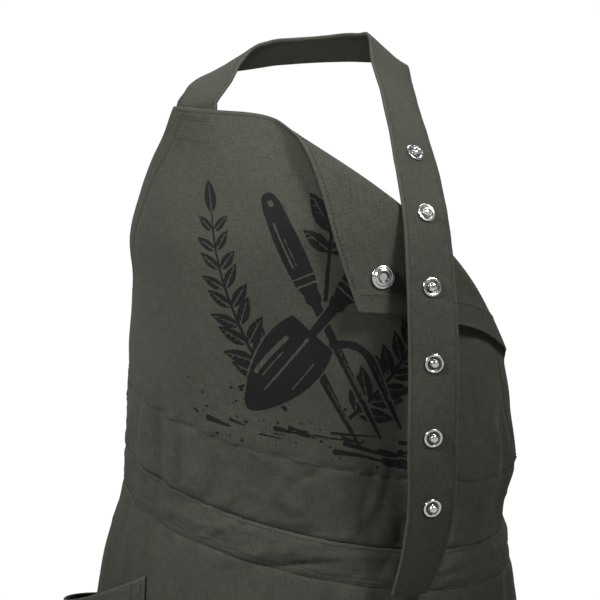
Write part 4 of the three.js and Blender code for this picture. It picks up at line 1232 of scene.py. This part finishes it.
nickel, wire = start_finish("nickel")
nickel_place = wire.node("Attribute", {"attribute_name": "pattern"}, {}, "Vector")
cloudy = wire.node("TexNoise", {}, {"Vector": nickel_place, "Scale": 0.5, "Detail": 3.0}, "Fac")
scratches = wire.node("TexNoise", {}, {
    "Vector": wire.node("VectorMath", {"operation": "MULTIPLY"}, {0: nickel_place, 1: (9, 0.4, 1)}, "Vector"),
    "Scale": 1.0, "Detail": 2.0}, "Fac")
snap_x, snap_y, snap_z = wire.node("SeparateXYZ", {}, {0: nickel_place}, (0, 1, 2))
snap_radius = (snap_x**2 + snap_y**2) ** 0.5
# The ring between the ball's neck and the dish, on the front, is coloured darker and made a little rougher.
# This is partly tarnish in the groove and partly painted shade in the groove's hollow.
groove_tarnish_and_painted_shade = wire.node("ValToRGB", {"stops": [
    (0.26, (0, 0, 0)), (0.29, (1, 1, 1)), (0.4, (1, 1, 1)), (0.45, (0, 0, 0))]},
    {0: snap_radius * 0.1}, "Color") * wire.math("GREATER_THAN", snap_z, 0.0)
end_finish(wire, {
    "Base Color": tinted(wire, NICKEL_COLOUR, (cloudy * 0.3 + 0.8) * (1 - groove_tarnish_and_painted_shade * 0.9)),
    "Metallic": 1.0,
    "Roughness": cloudy * 0.14 + scratches * 0.1 + groove_tarnish_and_painted_shade * 0.2 + 0.07,
    "Normal": wire.node("Bump", {}, {"Strength": 0.12, "Distance": 0.0001, "Height": scratches}),
})


def ring_cells(index):
    """The four corners of every cell of a grid of point numbers whose rows are closed rings."""
    return grid_cells(np.concatenate([index, index[:, :1]], axis=1))


def turn_snap(name, profile, point, normal, toward):
    """A turned metal piece from rows of radius and height, at a place on the cloth."""
    profile = np.array(profile, float)
    z = normal / np.linalg.norm(normal)
    y = np.cross(z, toward)
    y /= np.linalg.norm(y)
    x = np.cross(y, z)
    turn = np.linspace(0, 2 * math.pi, SNAP_SIDES, endpoint=False)
    ring = np.stack([np.cos(turn), np.sin(turn)], -1)
    inner = profile[1:-1]
    local = np.concatenate([inner[:, None, :1] * ring[None], np.broadcast_to(
        inner[:, None, 1:], (len(inner), SNAP_SIDES, 1))], -1).reshape(-1, 3)
    local = np.concatenate([local, [[0, 0, profile[0, 1]]], [[0, 0, profile[-1, 1]]]])
    index = np.arange(len(inner) * SNAP_SIDES).reshape(len(inner), SNAP_SIDES)
    ahead = np.roll(index, -1, axis=1)
    first, last = len(local) - 2, len(local) - 1
    caps = [(first, int(b), int(a)) for a, b in zip(index[0], ahead[0])]
    caps += [(last, int(a), int(b)) for a, b in zip(index[-1], ahead[-1])]
    points = point + local[:, :1] * x + local[:, 1:2] * y + local[:, 2:] * z
    return finish_piece(name, points, ring_cells(index).tolist() + caps, nickel, local)


def rounded(profile, cuts=2):
    """The rows of a profile with its corners softened."""
    profile = np.array(profile, float)
    for _ in range(cuts):
        inner = profile[1:-1]
        before = inner + (profile[:-2] - inner) * CORNER_CUT
        after = inner + (profile[2:] - inner) * CORNER_CUT
        profile = np.concatenate([profile[:1], np.stack([before, after], 1).reshape(-1, 2), profile[-1:]])
    return profile


def stud_profile():
    """Radius and height of a stud from the cap behind the strap to the top of its ball."""
    front = STRAP_THICKNESS / 2 + STUD_SEAT
    rim = front + STUD_RIM
    top = front + STUD_BALL_HEIGHT
    ball = top - STUD_BALL_RADIUS * 0.8
    return rounded((
        (0, -front - STUD_RIM),
        (STUD_FLANGE_RADIUS * 0.8, -front - STUD_RIM),
        (STUD_FLANGE_RADIUS, -front - STUD_RIM / 2),
        (STUD_FLANGE_RADIUS, -front),
        (STUD_POST_RADIUS, -front),
        (STUD_POST_RADIUS, front),
        (STUD_FLANGE_RADIUS, front),
        (STUD_FLANGE_RADIUS, rim - STUD_RIM / 3),
        (STUD_FLANGE_RADIUS * 0.9, rim),
        (STUD_FLANGE_RADIUS * 0.76, rim - STUD_RIM * 0.1),
        (STUD_FLANGE_RADIUS * 0.66, rim - STUD_RIM * 0.9),
        (STUD_BALL_RADIUS * 0.84, rim - STUD_RIM * 0.9),
        (STUD_BALL_RADIUS * 0.84, ball - STUD_RIM * 0.4),
        (STUD_BALL_RADIUS, ball),
        (STUD_BALL_RADIUS * 0.92, top - 0.9),
        (STUD_BALL_RADIUS * 0.6, top - 0.15),
        (STUD_BALL_RADIUS * 0.3, top),
        (0, top),
    ))


stud_middles, stud_widths, stud_normals = strap_frame(np.interp(stud_lengths, strap_lengths, strap_t))
for i in range(STUD_COUNT):
    name = f"snap_stud_{i + 1}"
    stud = turn_snap(name, stud_profile(), stud_middles[i], stud_normals[i], stud_widths[i])
    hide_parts(name)

socket_front = CLOTH / 2 + SOCKET_SEAT
socket_top = socket_front + SOCKET_HEIGHT
socket_floor = socket_front + SOCKET_HEIGHT * 0.3
socket_rows = rounded((
    (0, -socket_front - STUD_RIM),
    (SOCKET_RADIUS * 0.8, -socket_front - STUD_RIM),
    (SOCKET_RADIUS * 0.9, -socket_front),
    (STUD_POST_RADIUS, -socket_front),
    (STUD_POST_RADIUS, socket_front),
    (SOCKET_RADIUS, socket_front),
    (SOCKET_RADIUS, socket_front + SOCKET_HEIGHT * 0.3),
    (SOCKET_RADIUS * 0.86, socket_front + SOCKET_HEIGHT * 0.42),
    (SOCKET_RADIUS * 0.78, socket_front + SOCKET_HEIGHT * 0.36),
    (SOCKET_RADIUS * 0.7, socket_top - 0.3),
    (SOCKET_RADIUS * 0.6, socket_top),
    (SOCKET_HOLE_RADIUS * 1.12, socket_top),
    (SOCKET_HOLE_RADIUS, socket_top - 0.3),
    (SOCKET_HOLE_RADIUS, socket_floor),
    (SOCKET_HOLE_RADIUS * 0.5, socket_floor),
    (0, socket_floor),
))
no_lift = np.zeros(3)
spots = bib_point(
    np.array([SOCKET_PLACE[0], SOCKET_PLACE[0] - SOCKET_RADIUS, SOCKET_PLACE[0]]),
    np.array([SOCKET_PLACE[1], SOCKET_PLACE[1], SOCKET_PLACE[1] - SOCKET_RADIUS]), no_lift)
socket_right, socket_up = spots[1] - spots[0], spots[2] - spots[0]
socket_out = np.cross(socket_up, socket_right)
socket = turn_snap("snap_socket", socket_rows, spots[0], socket_out, socket_right)
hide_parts("snap_socket")


# Waist ties: two strips of canvas sewn behind the ends of the waistband, which meet in a knot at the back
# of the waist and hang from it. The photograph doesn't show them.
TIE_WIDTH = 25
TIE_THICKNESS = 1.6
TIE_LAP = 16
TIE_TAIL = 190
TAIL_GAP = 1
TAIL_SPREAD = 12
TAIL_UNEVEN = 10
KNOT_HALF_WIDTH = 17
KNOT_HALF_HEIGHT = 14
KNOT_HALF_DEPTH = 9
TIE_GRID = (150, 13)
TAIL_GRID = (110, 13)

knot_height = SEAM_DIP * 2 - BAND_HEIGHT / 2
tie_lift = -(BAND_THICKNESS + TIE_THICKNESS) / 2 - GAP
back_reach = float(BODY_HALF_WIDTH)
while angle_round(np.array([back_reach]), section_at(np.array([knot_height])))[0] < math.pi:
    back_reach += GAP
knot_middle = body_point(back_reach, knot_height, tie_lift)

tie_along, tie_up = np.meshgrid(np.linspace(0, 1, TIE_GRID[0]), np.linspace(-0.5, 0.5, TIE_GRID[1]))
for side, name in ((-1, "waist_tie_left"), (1, "waist_tie_right")):
    def tie_cloth(along, up, side=side):
        """The tie at shares of its length, round the body, and of its width."""
        share = along if side > 0 else 1 - along
        start = WAIST_SHIFT + side * (band_half - TIE_LAP)
        end = side * (back_reach - KNOT_HALF_WIDTH - GAP)
        distance = start + (end - start) * share
        middle = seam_height(distance) - BAND_HEIGHT / 2
        middle = middle + (knot_height - middle) * share**2
        pinch = 1 - 0.35 * np.clip((share - 0.82) / 0.18, 0, 1) ** 2
        height = middle + up * TIE_WIDTH * pinch
        crease = 0.3 * soft_noise(distance, height, 12, 71) * np.clip((share - 0.12) / 0.1, 0, 1)
        lying = body_point(distance, height, tie_lift + crease)
        upright = body_point(distance, middle, tie_lift + crease)
        upright = np.stack([upright[..., 0], upright[..., 1], height], -1)
        return lying + (upright - lying) * share[..., None]

    tie_length = back_reach - band_half
    flat = np.stack([tie_along * tie_length, tie_up * TIE_WIDTH], -1)
    rub = near((0.5 - np.abs(tie_up)) * TIE_WIDTH, STRAP_RUB_REACH)
    tie = sew_sheet(name, tie_cloth(tie_along, tie_up), flat, canvas,
                    TIE_THICKNESS / 2, TIE_THICKNESS / 2, rub)
    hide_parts(name)
    tie_points = tie_cloth(tie_along[:1], tie_up[TIE_GRID[1] // 2][None])[0]

    top = knot_middle[2] - KNOT_HALF_HEIGHT - GAP
    tail_share, tail_across = np.meshgrid(
        np.linspace(1, 0, TAIL_GRID[0]), np.linspace(-0.5, 0.5, TAIL_GRID[1]), indexing="ij")
    opening = np.clip(tail_share / 0.3, 0, 1)
    width = TIE_WIDTH * (0.5 + 0.5 * opening**2 * (3 - 2 * opening))
    spread = side * (width / 2 + TAIL_GAP * (1 + TAIL_SPREAD * tail_share))
    curl = 0.8 * soft_noise(tail_share * TIE_TAIL, tail_across * TIE_WIDTH, 30, 72 + side) * tail_share
    pleat = 1.1 * np.cos(3 * math.pi * tail_across) * (1 - opening)
    middle = np.stack([
        knot_middle[0] + spread - tail_across * width,
        knot_middle[1] + TIE_THICKNESS * (1 + np.sin(math.pi * tail_share)) + GAP + curl + pleat,
        top - (TIE_TAIL - side * TAIL_UNEVEN) * tail_share], -1)
    tail_name = "tie_tail_" + name.rsplit("_", 1)[1]
    tail = sew_sheet(tail_name, middle, np.stack([tail_across * TIE_WIDTH, tail_share * TIE_TAIL], -1),
                     canvas, TIE_THICKNESS / 2, TIE_THICKNESS / 2,
                     near((0.5 - np.abs(tail_across)) * TIE_WIDTH, STRAP_RUB_REACH))
    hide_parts(tail_name)


# Knot: the two ties wound round each other at the back of the waist and pulled tight. Wraps of the same
# canvas lie over a packed core.
KNOT_GRID = (40, 72)
KNOT_CORE = 0.86
KNOT_CANVAS = (16, 14)
# tilt, turn of each wrap's plane in degrees, its size as a share of the knot, and its width
KNOT_WRAPS = ((0, 8, 0.98, 13), (62, -12, 0.94, 12), (-58, 10, 0.9, 12))
knot_sizes = np.array([KNOT_HALF_WIDTH, KNOT_HALF_DEPTH, KNOT_HALF_HEIGHT])
lat, lon = np.meshgrid(
    np.linspace(-0.499, 0.499, KNOT_GRID[0]) * math.pi,
    np.linspace(0, 2 * math.pi, KNOT_GRID[1], endpoint=False), indexing="ij")
ball = np.stack([np.cos(lat) * np.cos(lon), np.cos(lat) * np.sin(lon), np.sin(lat)], -1)
folds = np.ones(lat.shape) * KNOT_CORE
for tilt, turn, size, width in KNOT_WRAPS:
    tilt, turn = math.radians(tilt), math.radians(turn)
    axis = np.array([math.cos(tilt) * math.cos(turn), math.sin(turn), math.sin(tilt)])
    away = (ball @ axis) * KNOT_CANVAS[0]
    band = size + 0.03 * np.cos(np.clip(away / (width / 2), -1, 1) * math.pi * 0.5)
    folds = np.where(np.abs(away) < width / 2, np.maximum(folds, band), folds)
folds += 0.012 * soft_noise(lon * 20, lat * 20, 4, 81)
knot_points = (knot_middle + ball * knot_sizes * folds[..., None]).reshape(-1, 3)
index = np.arange(lat.size).reshape(lat.shape)
caps = [index[0, ::-1].tolist(), index[-1].tolist()]
knot_pattern = np.stack([lon * KNOT_CANVAS[0], lat * KNOT_CANVAS[1], 0 * lon], -1).reshape(-1, 3)
tie_knot = finish_piece("tie_knot", knot_points, ring_cells(index).tolist() + caps, canvas, knot_pattern)
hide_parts("tie_knot")
